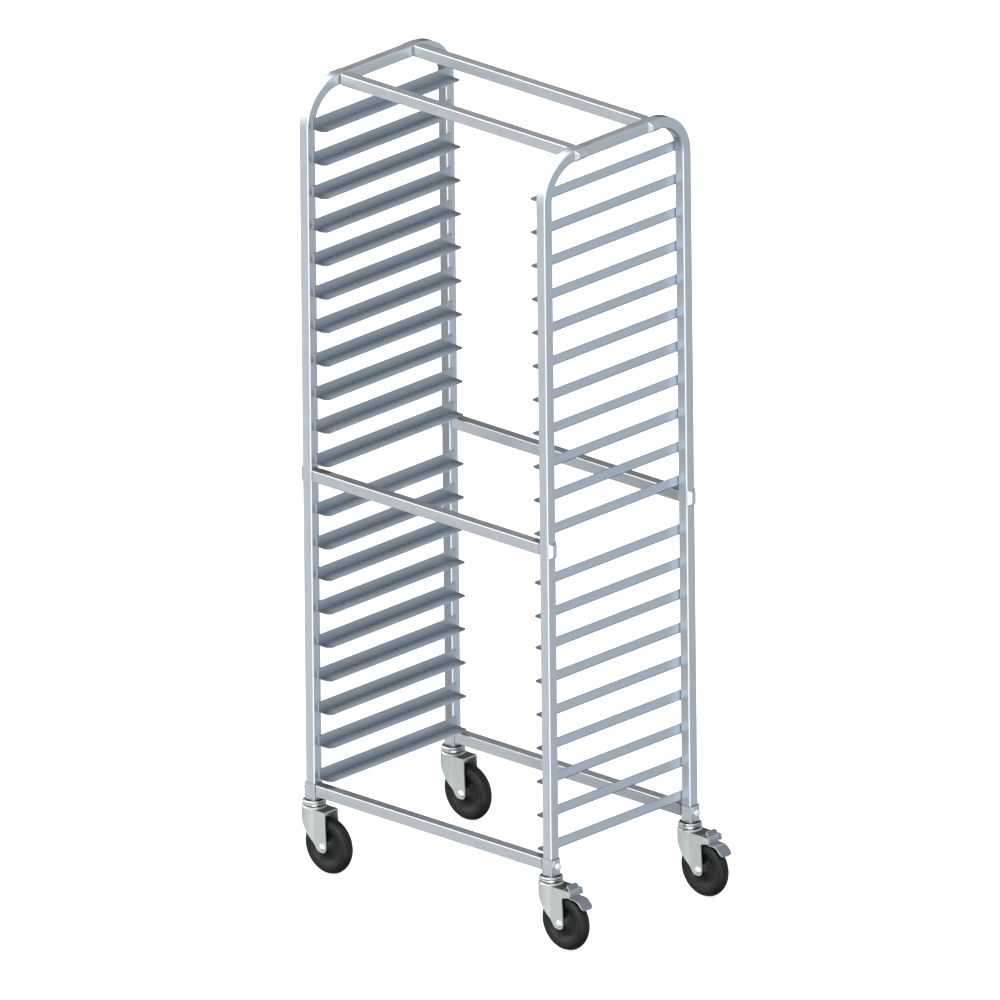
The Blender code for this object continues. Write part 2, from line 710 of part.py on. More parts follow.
def pedal():
    """An upright tab and a sloping blade on a barrel, with the pivot at the origin."""
    tab_outline = ribbon(TAB_LINE, BRAKE_SHEET)
    tab = prism("tab", [tab_outline], "Y", -BRAKE_TAB_HALF, BRAKE_TAB_HALF)
    tab_plan = TAB_HALF_PLAN + [TAB_MIDDLE] + mirrored(TAB_HALF_PLAN)
    tab = boolean(tab, [prism("tab_plan", [tab_plan], "Z", *TAB_TRIM_Z)], "INTERSECT")

    blade_outline = ribbon(BLADE_LINE, BRAKE_SHEET)
    blade = prism("blade", [blade_outline], "Y", -BRAKE_PEDAL_HALF, BRAKE_PEDAL_HALF)
    blade_end = rounded_end(BLADE_END_X, BRAKE_PEDAL_HALF + TRIM_OFFSET, BLADE_CORNER, 4)
    blade_plan = BLADE_PLAN_EDGE + blade_end + mirrored(BLADE_PLAN_EDGE)
    blade = boolean(blade, [prism("blade_plan", [blade_plan], "Z", *BLADE_TRIM_Z)], "INTERSECT")

    pivot = (BRAKE_PIN_X, BRAKE_PIN_Z)
    barrel = cylinder("barrel", BARREL_RADIUS, -BARREL_HALF, BARREL_HALF, "Y", pivot, sides=20)
    body = boolean(tab, [blade, barrel], "UNION")
    body = boolean(body, [brake_hole()], "DIFFERENCE")
    body.data.transform(Matrix.Translation((-BRAKE_PIN_X, 0, -BRAKE_PIN_Z)))
    return body


def brake_pin():
    half = FORK_HALF - PIN_END_GAP
    return cylinder("pin", BRAKE_PIN_RADIUS, -half, half, "Y", (0, 0))


# ---------------------------------------------------------------- four casters
plain_fork_mesh = finished("caster_fork_plain", fork(braked=False), FORK_FINISH)
braked_fork_mesh = finished("caster_fork_braked", fork(braked=True), FORK_FINISH)
wheel_mesh = finished("caster_wheel", wheel(), WHEEL_FINISH)
pedal_mesh = finished("brake_pedal", pedal(), BRAKE_FINISH)
pin_mesh = finished("brake_pin", brake_pin(), PIN_FINISH)

# Wheel and brake positions are measured from the fork's origin.
wheel_at = (CASTER_OFFSET, 0, WHEEL_RADIUS - SWIVEL_Z)
brake_at = (BRAKE_PIN_X, 0, BRAKE_PIN_Z - SWIVEL_Z)
for corner_name, post_x, post_y, has_brake in (
    ("front_left", -POST_X, -POST_Y, False),
    ("back_left", -POST_X, POST_Y, False),
    ("front_right", POST_X, -POST_Y, True),
    ("back_right", POST_X, POST_Y, True),
):
    fork_mesh = braked_fork_mesh if has_brake else plain_fork_mesh
    fork_part = place(f"caster_fork_{corner_name}", fork_mesh, (post_x, post_y, SWIVEL_Z))
    place(f"caster_wheel_{corner_name}", wheel_mesh, wheel_at, parent=fork_part)
    if has_brake:
        place(f"brake_pedal_{corner_name}", pedal_mesh, brake_at, parent=fork_part)
        place(f"brake_pin_{corner_name}", pin_mesh, brake_at, parent=fork_part)

# ---------------------------------------------------------------- origin
for part in parts.objects:
    if part.parent is None:
        part.location.x -= MIDDLE_X
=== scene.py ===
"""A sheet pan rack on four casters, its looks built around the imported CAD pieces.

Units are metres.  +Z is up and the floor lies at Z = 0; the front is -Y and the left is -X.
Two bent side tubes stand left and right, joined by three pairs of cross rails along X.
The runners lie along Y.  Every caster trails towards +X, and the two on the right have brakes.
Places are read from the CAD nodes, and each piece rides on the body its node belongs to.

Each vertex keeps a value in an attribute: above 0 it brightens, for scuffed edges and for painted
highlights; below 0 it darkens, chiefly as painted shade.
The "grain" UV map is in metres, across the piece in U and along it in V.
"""

import math

import bmesh
import bpy
from mathutils import Matrix, Vector


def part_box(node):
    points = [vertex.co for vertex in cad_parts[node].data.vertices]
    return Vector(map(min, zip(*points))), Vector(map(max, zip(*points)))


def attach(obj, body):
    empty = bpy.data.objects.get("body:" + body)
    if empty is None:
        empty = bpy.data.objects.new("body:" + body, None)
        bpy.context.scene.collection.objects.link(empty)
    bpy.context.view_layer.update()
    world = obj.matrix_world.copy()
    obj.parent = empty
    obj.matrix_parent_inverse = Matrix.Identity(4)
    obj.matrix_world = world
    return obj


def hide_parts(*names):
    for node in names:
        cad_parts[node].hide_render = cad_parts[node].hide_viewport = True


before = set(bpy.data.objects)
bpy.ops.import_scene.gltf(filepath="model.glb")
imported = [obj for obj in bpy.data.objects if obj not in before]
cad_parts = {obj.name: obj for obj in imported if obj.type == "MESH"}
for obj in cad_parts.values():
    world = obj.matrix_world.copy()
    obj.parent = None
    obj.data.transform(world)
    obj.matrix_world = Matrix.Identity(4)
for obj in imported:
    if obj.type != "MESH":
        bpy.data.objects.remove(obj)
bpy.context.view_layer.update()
scene = bpy.context.scene

# ------------------------------------------------------------ places from the CAD
rail_low, rail_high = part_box("top_rail_front")
MID_X = (rail_low.x + rail_high.x) / 2
TUBE = rail_high.z - rail_low.z                 # outer size of the square tube
TOP_Z = rail_high.z
TOP_RAIL_Y = -(rail_low.y + rail_high.y) / 2
TOP_RAIL_Z = TOP_Z - TUBE / 2
INNER_X = rail_high.x - MID_X + 0.0003          # inner faces of the posts
POST_X = INNER_X + TUBE / 2
POST_OUTER_X = POST_X + TUBE / 2
mid_low, mid_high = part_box("middle_rail_front")
POST_Y = -(mid_low.y + mid_high.y) / 2
MIDDLE_Z = (mid_low.z + mid_high.z) / 2
foot_low, foot_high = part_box("bottom_rail_front")
SLEEVE_TOP = foot_high.z
BOTTOM_Z = SLEEVE_TOP - 0.0025 - TUBE / 2       # the bottom rails' centre line
BOLT_Z = foot_low.z + 0.0344
FOOT_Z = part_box("side_tube_left")[0].z
runner_low, runner_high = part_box("runner_left_01")
RUNNER_HEIGHT = runner_high.z - runner_low.z
RUNNER_LEDGE = runner_high.x - runner_low.x
RUNNER_END_Y = runner_high.y

TUBE_WALL = 0.0016
TUBE_CORNER = 0.0032
RAIL_CORNER = 0.0017
BEND_RADIUS = 0.1016                            # outside of the side tubes' bends
HEX_FLATS = 0.0128                              # across the flats of bolt heads and nuts
ON_FACE = 1e-5                                  # slack when telling which face a point is on

SIDES = (("left", -1), ("right", 1))
ENDS = (("front", -1), ("back", 1))


# ------------------------------------------------------------ mesh building
class Shape:
    """Vertices with a value each for scuffed edges and painted light and shade, and faces with their
    grain map.
    """

    def __init__(self):
        self.verts, self.wear_and_shade, self.faces, self.uvs = [], [], [], []

    def point(self, place, wear_and_shade=0.0):
        self.verts.append(Vector(place))
        self.wear_and_shade.append(wear_and_shade)
        return len(self.verts) - 1

    def face(self, ids, uvs):
        self.faces.append(tuple(ids))
        self.uvs.append([tuple(uv) for uv in uvs])

    def skin(self, rings, across, along, amounts=None, closed=True, flip=False):
        """Quads between rings of points; across is U round a ring, along is V per ring."""
        made = []
        for ring in rings:
            ring_amounts = amounts or [0.0] * len(ring)
            made.append([self.point(place, wear_and_shade) for place, wear_and_shade in zip(ring, ring_amounts)])
        count = len(rings[0])
        for k in range(len(rings) - 1):
            low, high = made[k], made[k + 1]
            v_low, v_high = along[k], along[k + 1]
            for i in range(count if closed else count - 1):
                j = (i + 1) % count
                u_start, u_end = across[i], across[i + 1]
                ids = (low[i], low[j], high[j], high[i])
                uvs = ((u_start, v_low), (u_end, v_low), (u_end, v_high), (u_start, v_high))
                if flip:
                    ids, uvs = ids[::-1], uvs[::-1]
                self.face(ids, uvs)
        return made

    def cap(self, ids, flip=False):
        """One flat face over a ring, its grain map laid in the face's own plane."""
        ids = list(ids)[::-1] if flip else list(ids)
        centre = sum((self.verts[i] for i in ids), Vector()) / len(ids)
        arms = [self.verts[i] - centre for i in ids]
        normal = Vector()
        for arm, following in zip(arms, arms[1:] + arms[:1]):
            normal += arm.cross(following)
        normal.normalize()
        side = normal.orthogonal().normalized()
        up = normal.cross(side)
        self.face(ids, [(arm.dot(side), arm.dot(up)) for arm in arms])

    def join(self, other, matrix=Matrix()):
        """Adds another shape, moved by the matrix; a mirrored one has its faces turned over."""
        base = len(self.verts)
        for place, wear_and_shade in zip(other.verts, other.wear_and_shade):
            self.point(matrix @ place, wear_and_shade)
        flip = matrix.determinant() < 0
        for ids, uvs in zip(other.faces, other.uvs):
            ids = tuple(base + i for i in ids)
            self.faces.append(ids[::-1] if flip else ids)
            self.uvs.append(uvs[::-1] if flip else uvs)
        return self

    def mesh(self, name):
        made = bpy.data.meshes.new(name)
        made.from_pydata([tuple(place) for place in self.verts], [], self.faces)
        flat = [number for uvs in self.uvs for uv in uvs for number in uv]
        made.uv_layers.new(name="grain").data.foreach_set("uv", flat)
        attribute = made.attributes.new("wear_and_shade", "FLOAT", "POINT")
        attribute.data.foreach_set("value", self.wear_and_shade)
        made.validate(clean_customdata=False)
        return made


def cleaned(mesh, weld=0.0, orient=True):
    """Welds close vertices and turns every closed skin to look outwards, in place."""
    work = bmesh.new()
    work.from_mesh(mesh)
    if weld:
        bmesh.ops.remove_doubles(work, verts=work.verts, dist=weld)
    if orient:
        bmesh.ops.recalc_face_normals(work, faces=work.faces)
    work.to_mesh(mesh)
    work.free()
    return mesh


def facing(mesh, point, direction):
    """Turns the mesh over if its face nearest the point looks away from the direction."""
    nearest = min(mesh.polygons, key=lambda face: (face.center - Vector(point)).length)
    if nearest.normal.dot(Vector(direction)) < 0:
        mesh.flip_normals()
    return mesh


def evaluated(mesh, *modifiers):
    """A new mesh with (kind, settings) modifiers applied."""
    helper = bpy.data.objects.new("helper", mesh)
    scene.collection.objects.link(helper)
    for kind, settings in modifiers:
        modifier = helper.modifiers.new(kind.lower(), kind)
        for key, value in settings.items():
            setattr(modifier, key, value)
    bpy.context.view_layer.update()
    graph = bpy.context.evaluated_depsgraph_get()
    result = bpy.data.meshes.new_from_object(helper.evaluated_get(graph))
    bpy.data.objects.remove(helper, do_unlink=True)
    return result


def shade_smooth(mesh, sharp_degrees):
    for polygon in mesh.polygons:
        polygon.use_smooth = True
    mesh.set_sharp_from_angle(angle=math.radians(sharp_degrees))


def settled(mesh, bevel=None, solid=None, weld=1e-6, angle=38.0, segments=2):
    """The mesh with its thickness, rounded edges and face-weighted normals worked in."""
    cleaned(mesh, weld, orient=not solid)
    modifiers = []
    if solid:
        modifiers.append(("SOLIDIFY", dict(thickness=solid, offset=-1.0, use_even_offset=True)))
    if bevel:
        modifiers.append(("BEVEL", dict(width=bevel, segments=segments, limit_method="ANGLE",
                                        angle_limit=math.radians(angle))))
    shaped = evaluated(mesh, *modifiers)
    shade_smooth(shaped, 50)
    weighting = dict(mode="FACE_AREA_WITH_ANGLE", weight=60, keep_sharp=True)
    made = evaluated(shaped, ("WEIGHTED_NORMAL", weighting))
    made.materials.clear()                      # also clears the faces' slot numbers
    return made


def settled_twice_turned(shape, name):
    """A settled mesh whose faces are also made to agree before welding."""
    return settled(cleaned(shape.mesh(name)))


def together(name, *parts):
    """One mesh from several (mesh, material) parts, each keeping its own material."""
    joined = bpy.data.meshes.new(name)
    work = bmesh.new()
    slots = []
    for k, (mesh, _) in enumerate(parts):
        work.from_mesh(mesh)
        slots += [k] * (len(work.faces) - len(slots))
    work.to_mesh(joined)
    work.free()
    made = settled(joined, weld=0.0)
    for _, material in parts:
        made.materials.append(material)
    made.polygons.foreach_set("material_index", slots)
    made.update()
    return made


# ------------------------------------------------------------ outlines and basic shapes
def section(width, height, radius, steps, support=0.0009, centre=(0.0, 0.0)):
    """A rounded rectangle and its wear; a support point lies beside each end of a corner arc."""
    points, wear_and_shade = [], []
    for quarter, (side_x, side_y) in enumerate(((1, 1), (-1, 1), (-1, -1), (1, -1))):
        corner_x = centre[0] + side_x * (width / 2 - radius)
        corner_y = centre[1] + side_y * (height / 2 - radius)
        start, end = math.radians(90 * quarter), math.radians(90 * quarter + 90)

        def add(angle, amount, offset=Vector((0.0, 0.0))):
            points.append((corner_x + radius * math.cos(angle) + offset.x,
                           corner_y + radius * math.sin(angle) + offset.y))
            wear_and_shade.append(amount)

        if support:
            add(start, 0.0, Vector((math.sin(start), -math.cos(start))) * support)
        for step in range(steps + 1):
            add(start + (end - start) * step / steps, 1.0 if 0 < step < steps else 0.55)
        if support:
            add(end, 0.0, Vector((-math.sin(end), math.cos(end))) * support)
    return points, wear_and_shade


def lengths(points, closed=True):
    """Running length at each point of a polyline, and back at the first point if closed."""
    total, running = 0.0, [0.0]
    loop = list(points) + ([points[0]] if closed else [])
    for start, end in zip(loop, loop[1:]):
        total += (Vector(end) - Vector(start)).length
        running.append(total)
    return running


def arc(centre_x, centre_y, radius, start, end, steps):
    """Points on an arc, its angles in degrees."""
    angles = [math.radians(start + (end - start) * i / steps) for i in range(steps + 1)]
    return [(centre_x + radius * math.cos(angle), centre_y + radius * math.sin(angle))
            for angle in angles]


def lathe(profile, steps, axis="Z", closed_profile=False):
    """A profile of (radius, height) or (radius, height, value) points turned about an axis; the
    value paints light above 0 and shade below 0.
    """
    points = list(profile) + ([profile[0]] if closed_profile else [])
    outline = [point[:2] for point in points]
    biggest = max(radius for radius, _ in outline)
    turns = [2 * math.pi * i / steps for i in range(steps)]
    rings = []
    for radius, height in outline:
        if axis == "Z":
            rings.append([(radius * math.cos(a), radius * math.sin(a), height) for a in turns])
        else:
            rings.append([(radius * math.cos(a), height, -radius * math.sin(a)) for a in turns])
    across = [2 * math.pi * biggest * i / steps for i in range(steps + 1)]
    shape = Shape()
    made = shape.skin(rings, across, lengths(outline, closed=False))
    for ring, point in zip(made, points):
        for i in ring:
            shape.wear_and_shade[i] = point[2] if len(point) > 2 else 0.0
    if not closed_profile:
        if outline[0][0] > 1e-6:
            shape.cap(made[0], flip=True)
        if outline[-1][0] > 1e-6:
            shape.cap(made[-1])
    return shape


def bead(path, radius, pitch, closed=True, seed=0.0):
    """A rippled weld bead along a polyline; an open one tapers towards both ends."""
    sides = 7
    points = [Vector(point) for point in path]
    if closed:
        points.append(points[0])
    centres, along = [], []
    total = 0.0
    for start, end in zip(points, points[1:]):
        span = (end - start).length
        count = max(2, int(span / (pitch / 4)))
        for i in range(count):
            centres.append(start.lerp(end, i / count))
            along.append(total + span * i / count)
        total += span
    if not closed:
        centres.append(points[-1])
        along.append(total)
    reference = Vector((0.31, 0.52, 0.79))      # a fixed slant that no bead runs along
    turns = [2 * math.pi * k / sides for k in range(sides)]
    rings = []
    last = len(centres) - 1
    for i, (here, distance) in enumerate(zip(centres, along)):
        before = centres[i - 1] if closed or i else here
        after = centres[(i + 1) % len(centres)] if closed or i < last else here
        tangent = (after - before).normalized()
        side = (reference - tangent * reference.dot(tangent)).normalized()
        up = tangent.cross(side)
        wave = math.sin(2 * math.pi * distance / pitch + seed)
        size = radius * (1.0 + 0.10 * wave + 0.07 * math.sin(distance * 420 + seed * 3))
        if not closed:
            taper = math.sqrt(max(0.0, 1 - abs(2 * distance / total - 1) ** 4))
            size *= max(0.12, min(1.0, taper))
        rings.append([here + (side * math.cos(a) + up * math.sin(a)) * size for a in turns])
    if closed:
        rings.append(rings[0])
        along.append(total)
    shape = Shape()
    made = shape.skin(rings, [2 * math.pi * radius * k / sides for k in range(sides + 1)], along)
    if not closed:
        shape.cap(made[0], flip=True)
        shape.cap(made[-1])
    return shape


def hex_head(height, base):
    """A hexagon head on +Z from base to base + height, its corners turned off by a cone."""
    per_side = 6
    inner = HEX_FLATS / 2 * 0.97
    top = base + height
    outline = []                                # (angle, radius)
    for side in range(6):
        for k in range(per_side):
            local = -30 + 60 * k / per_side
            outline.append((math.radians(60 * side + local),
                            HEX_FLATS / 2 / math.cos(math.radians(local))))

    def ring(place):
        """place gives a (radius, height) for each outline radius."""
        placed = [(angle, *place(radius)) for angle, radius in outline]
        return [(r * math.cos(angle), r * math.sin(angle), z) for angle, r, z in placed]

    rings = [
        ring(lambda r: (r, base)),
        ring(lambda r: (r, top - (r - inner) * 0.30 / 0.55 - 0.0003)),
        ring(lambda r: (r * 0.25 + inner * 0.75, top - 0.00005 - (r - inner) * 0.1)),
        ring(lambda r: (inner * 0.90, top)),
        ring(lambda r: (inner * 0.45, top)),
    ]
    shape = Shape()
    across = [HEX_FLATS * math.pi * i / len(outline) for i in range(len(outline) + 1)]
    made = shape.skin(rings, across, [0, height, height * 1.1, height * 1.3, height * 1.8])
    shape.cap(made[0], flip=True)
    shape.cap(made[-1])
    return shape


# ------------------------------------------------------------ node trees
class Net:
    """Short ways to write a node tree."""

    def __init__(self, node_tree):
        self.tree = node_tree

    def put(self, socket, value):
        if isinstance(value, bpy.types.NodeSocket):
            self.tree.links.new(value, socket)
        else:
            socket.default_value = value

    def fill(self, node, inputs):
        for key, value in inputs.items():
            self.put(node.inputs[key], value)

    def node(self, kind, **settings):
        made = self.tree.nodes.new(kind)
        for key, value in settings.items():
            setattr(made, key, value)
        return made

    def maths(self, operation, *values, clamp=False):
        made = self.node("ShaderNodeMath", operation=operation, use_clamp=clamp)
        for socket, value in zip(made.inputs, values):
            self.put(socket, value)
        return made.outputs[0]

    def times(self, first, second, clamp=False):
        return self.maths("MULTIPLY", first, second, clamp=clamp)

    def plus(self, first, second):
        return self.maths("ADD", first, second)

    def add(self, base, value, by, clamp=False):
        """base + by * value"""
        return self.maths("MULTIPLY_ADD", value, by, base, clamp=clamp)

    def vary(self, base, value, by, clamp=False):
        """base + by * (value - 0.5)"""
        return self.add(base, self.maths("SUBTRACT", value, 0.5), by, clamp)

    def vector(self, operation, first, second=None, scale=None):
        made = self.node("ShaderNodeVectorMath", operation=operation)
        self.put(made.inputs[0], first)
        if second is not None:
            self.put(made.inputs[1], second)
        if scale is not None:
            self.put(made.inputs["Scale"], scale)
        return made.outputs["Value"] if operation == "DOT_PRODUCT" else made.outputs[0]

    def split(self, vector):
        made = self.node("ShaderNodeSeparateXYZ")
        self.put(made.inputs[0], vector)
        return made.outputs

    def combined(self, values):
        made = self.node("ShaderNodeCombineXYZ")
        for socket, value in zip(made.inputs, values):
            self.put(socket, value)
        return made.outputs[0]

    def object_at(self, scale):
        """Object coordinates times one scale, or one per axis."""
        place = self.node("ShaderNodeTexCoord").outputs["Object"]
        scales = scale if isinstance(scale, tuple) else (scale, scale, scale)
        return self.vector("MULTIPLY", place, scales)

    def chance(self):
        return self.node("ShaderNodeObjectInfo").outputs["Random"]

    def noise(self, vector, detail, shift, rough):
        """Noise that differs from object to object; shift tells one texture from another."""
        made = self.node("ShaderNodeTexNoise", noise_dimensions="4D")
        self.fill(made, {"Vector": vector, "Scale": 1.0, "Detail": detail, "Roughness": rough,
                         "W": self.add(shift, self.chance(), 9.0)})
        return made.outputs["Fac"]

    def grain_noise(self, across, along, detail, shift, rough=0.55):
        """Noise over the grain map, with a frequency per metre across and along the piece."""
        grain = self.node("ShaderNodeUVMap", uv_map="grain").outputs[0]
        grain = self.vector("MULTIPLY", grain, (across, along, 1.0))
        return self.noise(grain, detail, shift, rough)

    def body_noise(self, scale, detail, shift, rough=0.55):
        return self.noise(self.object_at(scale), detail, shift, rough)

    def spread(self, value, start, end, to_start=0.0, to_end=1.0, smooth=True):
        """Maps start..end onto to_start..to_end."""
        kind = "SMOOTHSTEP" if smooth else "LINEAR"
        made = self.node("ShaderNodeMapRange", interpolation_type=kind)
        self.fill(made, {"Value": value, "From Min": start, "From Max": end,
                         "To Min": to_start, "To Max": to_end})
        return made.outputs["Result"]

    def mix(self, factor, first, second):
        """A mix of two plain colours."""
        made = self.node("ShaderNodeMix", data_type="RGBA")
        self.put(made.inputs[0], factor)
        self.put(made.inputs[6], (*first, 1.0))
        self.put(made.inputs[7], (*second, 1.0))
        return made.outputs[2]

    def bump(self, height, strength, distance, under=None):
        made = self.node("ShaderNodeBump")
        self.fill(made, {"Height": height, "Strength": strength, "Distance": distance})
        if under is not None:
            self.put(made.inputs["Normal"], under)
        return made.outputs["Normal"]

    def wear_and_shade(self, operation):
        """The per-vertex attribute limited at 0: MAXIMUM leaves the scuffed edges and painted
        highlights, MINIMUM the painted shade.
        """
        attribute = self.node("ShaderNodeAttribute", attribute_name="wear_and_shade").outputs["Fac"]
        return self.maths(operation, attribute, 0.0)

    def darkened(self, shade, painted_shade, cloud, depth):
        """The colour factor dimmed, in patches, by painted shade."""
        patchy = self.vary(1.0, cloud, by=0.5)
        dirt_and_shade = self.times(self.times(painted_shade, patchy), depth)
        return self.times(shade, self.maths("SUBTRACT", 1.0, dirt_and_shade, clamp=True))


def new_material(name):
    material = bpy.data.materials.new(name)
    material.use_nodes = True
    tree = material.node_tree
    return material, Net(tree), tree.nodes["Principled BSDF"]


def toned(colour, factors):
    return tuple(channel * factor for channel, factor in zip(colour, factors))


# ------------------------------------------------------------ materials
def aluminium(name, colour, roughness, streaks=1.0, clouds=1.0, edge=1.0):
    """Mill-finish aluminium: drawn lines along the piece, clouds, scuffs and scuffed bright edges,
    with painted shade where the per-vertex value is below 0.
    """
    material, net, shader = new_material(name)
    fine = net.grain_noise(across=1500.0, along=9.0, detail=2.0, rough=0.6, shift=1.0)
    lines = net.grain_noise(across=330.0, along=2.2, detail=3.0, rough=0.6, shift=3.0)
    broad = net.grain_noise(across=70.0, along=0.9, detail=2.0, shift=5.0)
    cloud = net.body_noise(26.0, detail=4.0, rough=0.62, shift=7.0)
    mottle = net.body_noise(150.0, detail=3.0, rough=0.6, shift=8.5)
    scuffs = net.grain_noise(across=240.0, along=46.0, detail=5.0, rough=0.72, shift=11.0)
    scuffs = net.spread(scuffs, start=0.60, end=0.72)
    scratches = net.body_noise((420.0, 420.0, 30.0), detail=3.0, rough=0.5, shift=13.0)
    scratches = net.spread(scratches, start=0.665, end=0.70)
    drawn = net.plus(net.times(lines, 0.55), net.plus(net.times(broad, 0.25), net.times(fine, 0.20)))
    # above 0 the per-vertex value brightens scuffed edges; below 0 it is painted shade
    rubbed_and_highlight = net.wear_and_shade("MAXIMUM")
    painted_shade = net.times(net.wear_and_shade("MINIMUM"), -1.0)

    shade = net.vary(1.0, drawn, by=0.26 * streaks)
    shade = net.vary(shade, cloud, by=0.12 * clouds)
    shade = net.vary(shade, mottle, by=0.06 * clouds)
    shade = net.add(shade, scuffs, by=0.035)
    shade = net.add(shade, scratches, by=-0.05)
    shade = net.vary(shade, net.chance(), by=0.03)
    shade = net.add(shade, rubbed_and_highlight, by=0.10 * edge)
    shade = net.darkened(shade, painted_shade, cloud, depth=0.62)
    warm = toned(colour, (1.015, 1.0, 0.985))
    cool = toned(colour, (0.985, 1.0, 1.015))
    hue = net.body_noise(9.0, detail=2.0, shift=17.0)
    hue = net.spread(hue, start=0.35, end=0.65, smooth=False)

    rough = net.vary(roughness, drawn, by=0.22)
    rough = net.vary(rough, cloud, by=0.14)
    rough = net.add(rough, scuffs, by=0.06)
    rough = net.add(rough, rubbed_and_highlight, by=-0.05 * edge)
    rough = net.add(rough, painted_shade, by=0.12, clamp=True)

    height = net.plus(net.times(fine, 0.35), net.times(lines, 0.65))
    relief = net.bump(height, strength=0.10, distance=0.0004)
    dents = net.maths("SUBTRACT", mottle, net.times(scratches, 0.5))
    relief = net.bump(dents, strength=0.05, distance=0.0006, under=relief)
    net.fill(shader, {
        "Base Color": net.vector("SCALE", net.mix(hue, warm, cool), scale=shade),
        "Roughness": rough, "Metallic": 1.0, "Normal": relief})
    return material


def zinc(name, colour, roughness, spangle=1.0, metallic=1.0, upward_shade=0.0):
    """Zinc plate on pressed steel: small crystals, faint clouds and matt stains.

    Faces that look up are darkened by the given amount: painted shade on tops."""
    material, net, shader = new_material(name)
    cells = net.node("ShaderNodeTexVoronoi", feature="F1")
    net.fill(cells, {"Vector": net.object_at(1.0), "Scale": 520.0})
    tone = net.node("ShaderNodeSeparateColor")
    net.put(tone.inputs[0], cells.outputs["Color"])
    crystal = tone.outputs[0]
    cloud = net.body_noise(48.0, detail=4.0, rough=0.6, shift=2.0)
    wipe = net.body_noise((160.0, 160.0, 24.0), detail=3.0, rough=0.6, shift=4.0)
    stain = net.body_noise(95.0, detail=5.0, rough=0.7, shift=6.0)
    stain = net.spread(stain, start=0.56, end=0.72)
    grain = net.body_noise(1500.0, detail=2.0, shift=8.0)
    # above 0 the per-vertex value is a painted highlight, below 0 painted shade
    rubbed_and_highlight = net.wear_and_shade("MAXIMUM")
    painted_shade = net.times(net.wear_and_shade("MINIMUM"), -1.0)
    if upward_shade:
        facing_up = net.split(net.node("ShaderNodeNewGeometry").outputs["True Normal"])[2]
        upward_shading = net.spread(facing_up, start=0.80, end=0.97, to_end=upward_shade)
        painted_shade = net.maths("MAXIMUM", painted_shade, upward_shading)

    shade = net.vary(1.0, crystal, by=0.05 * spangle)
    shade = net.vary(shade, cloud, by=0.16)
    shade = net.vary(shade, wipe, by=0.10)
    shade = net.add(shade, stain, by=-0.07)
    shade = net.add(shade, rubbed_and_highlight, by=0.30)
    shade = net.darkened(shade, painted_shade, cloud, depth=0.80)
    warm = toned(colour, (1.02, 1.005, 0.975))
    cool = toned(colour, (0.98, 1.0, 1.015))
    hue = net.spread(cloud, start=0.35, end=0.65, smooth=False)

    rough = net.vary(roughness, crystal, by=0.05 * spangle)
    rough = net.vary(rough, cloud, by=0.16)
    rough = net.add(rough, stain, by=0.10, clamp=True)

    relief = net.bump(grain, strength=0.06, distance=0.0002)
    height = net.plus(cloud, net.times(crystal, 0.15))
    relief = net.bump(height, strength=0.10, distance=0.0008, under=relief)
    net.fill(shader, {
        "Base Color": net.vector("SCALE", net.mix(hue, cool, warm), scale=shade),
        "Roughness": rough, "Metallic": metallic, "Normal": relief})
    return material


def rubber(name, colour, roughness, dust, rings=1.0):
    """Moulded black rubber or plastic: fine grain, moulding rings, dust in the pores."""
    material, net, shader = new_material(name)
    grain = net.body_noise(2600.0, detail=2.0, shift=1.0)
    pores = net.body_noise(620.0, detail=3.0, rough=0.6, shift=2.0)
    cloud = net.body_noise(70.0, detail=4.0, rough=0.6, shift=4.0)
    swirl = net.grain_noise(across=14.0, along=1300.0, detail=2.0, shift=6.0)
    scuff = net.grain_noise(across=60.0, along=420.0, detail=5.0, rough=0.7, shift=9.0)
    scuff = net.spread(scuff, start=0.58, end=0.74)
    dusty = net.times(net.spread(cloud, start=0.44, end=0.70, smooth=False),
                      net.spread(pores, start=0.40, end=0.66, smooth=False))
    dirt_and_shade = net.plus(net.times(dusty, 0.5), net.times(scuff, 0.4))
    dirt_and_shade = net.times(dirt_and_shade, 0.55 * dust, clamp=True)
    dusted = tuple(channel * 2.1 + 0.012 for channel in colour)

    rough = net.vary(roughness, swirl, by=0.12 * rings)
    rough = net.vary(rough, cloud, by=0.14)
    rough = net.add(rough, dirt_and_shade, by=0.20, clamp=True)

    relief = net.bump(grain, strength=0.12, distance=0.0002)
    relief = net.bump(swirl, strength=0.08 * rings, distance=0.0003, under=relief)
    relief = net.bump(pores, strength=0.10, distance=0.0005, under=relief)
    net.fill(shader, {
        "Base Color": net.mix(dirt_and_shade, colour, dusted), "Roughness": rough, "Metallic": 0.0,
        "Specular IOR Level": 0.26, "Normal": relief})
    return material


TUBE_METAL = aluminium("aluminium_tube", (0.585, 0.618, 0.655), roughness=0.36)
RAIL_METAL = aluminium("aluminium_rail", (0.567, 0.593, 0.616), roughness=0.38, clouds=1.3)
RUNNER_METAL = aluminium("aluminium_runner", (0.555, 0.605, 0.665), roughness=0.34, streaks=1.1)
SLEEVE_METAL = aluminium("aluminium_sleeve", (0.568, 0.595, 0.630), roughness=0.40)
WELD_METAL = aluminium("aluminium_weld", (0.500, 0.520, 0.545), roughness=0.46,
                       streaks=0.4, clouds=1.6, edge=0.0)
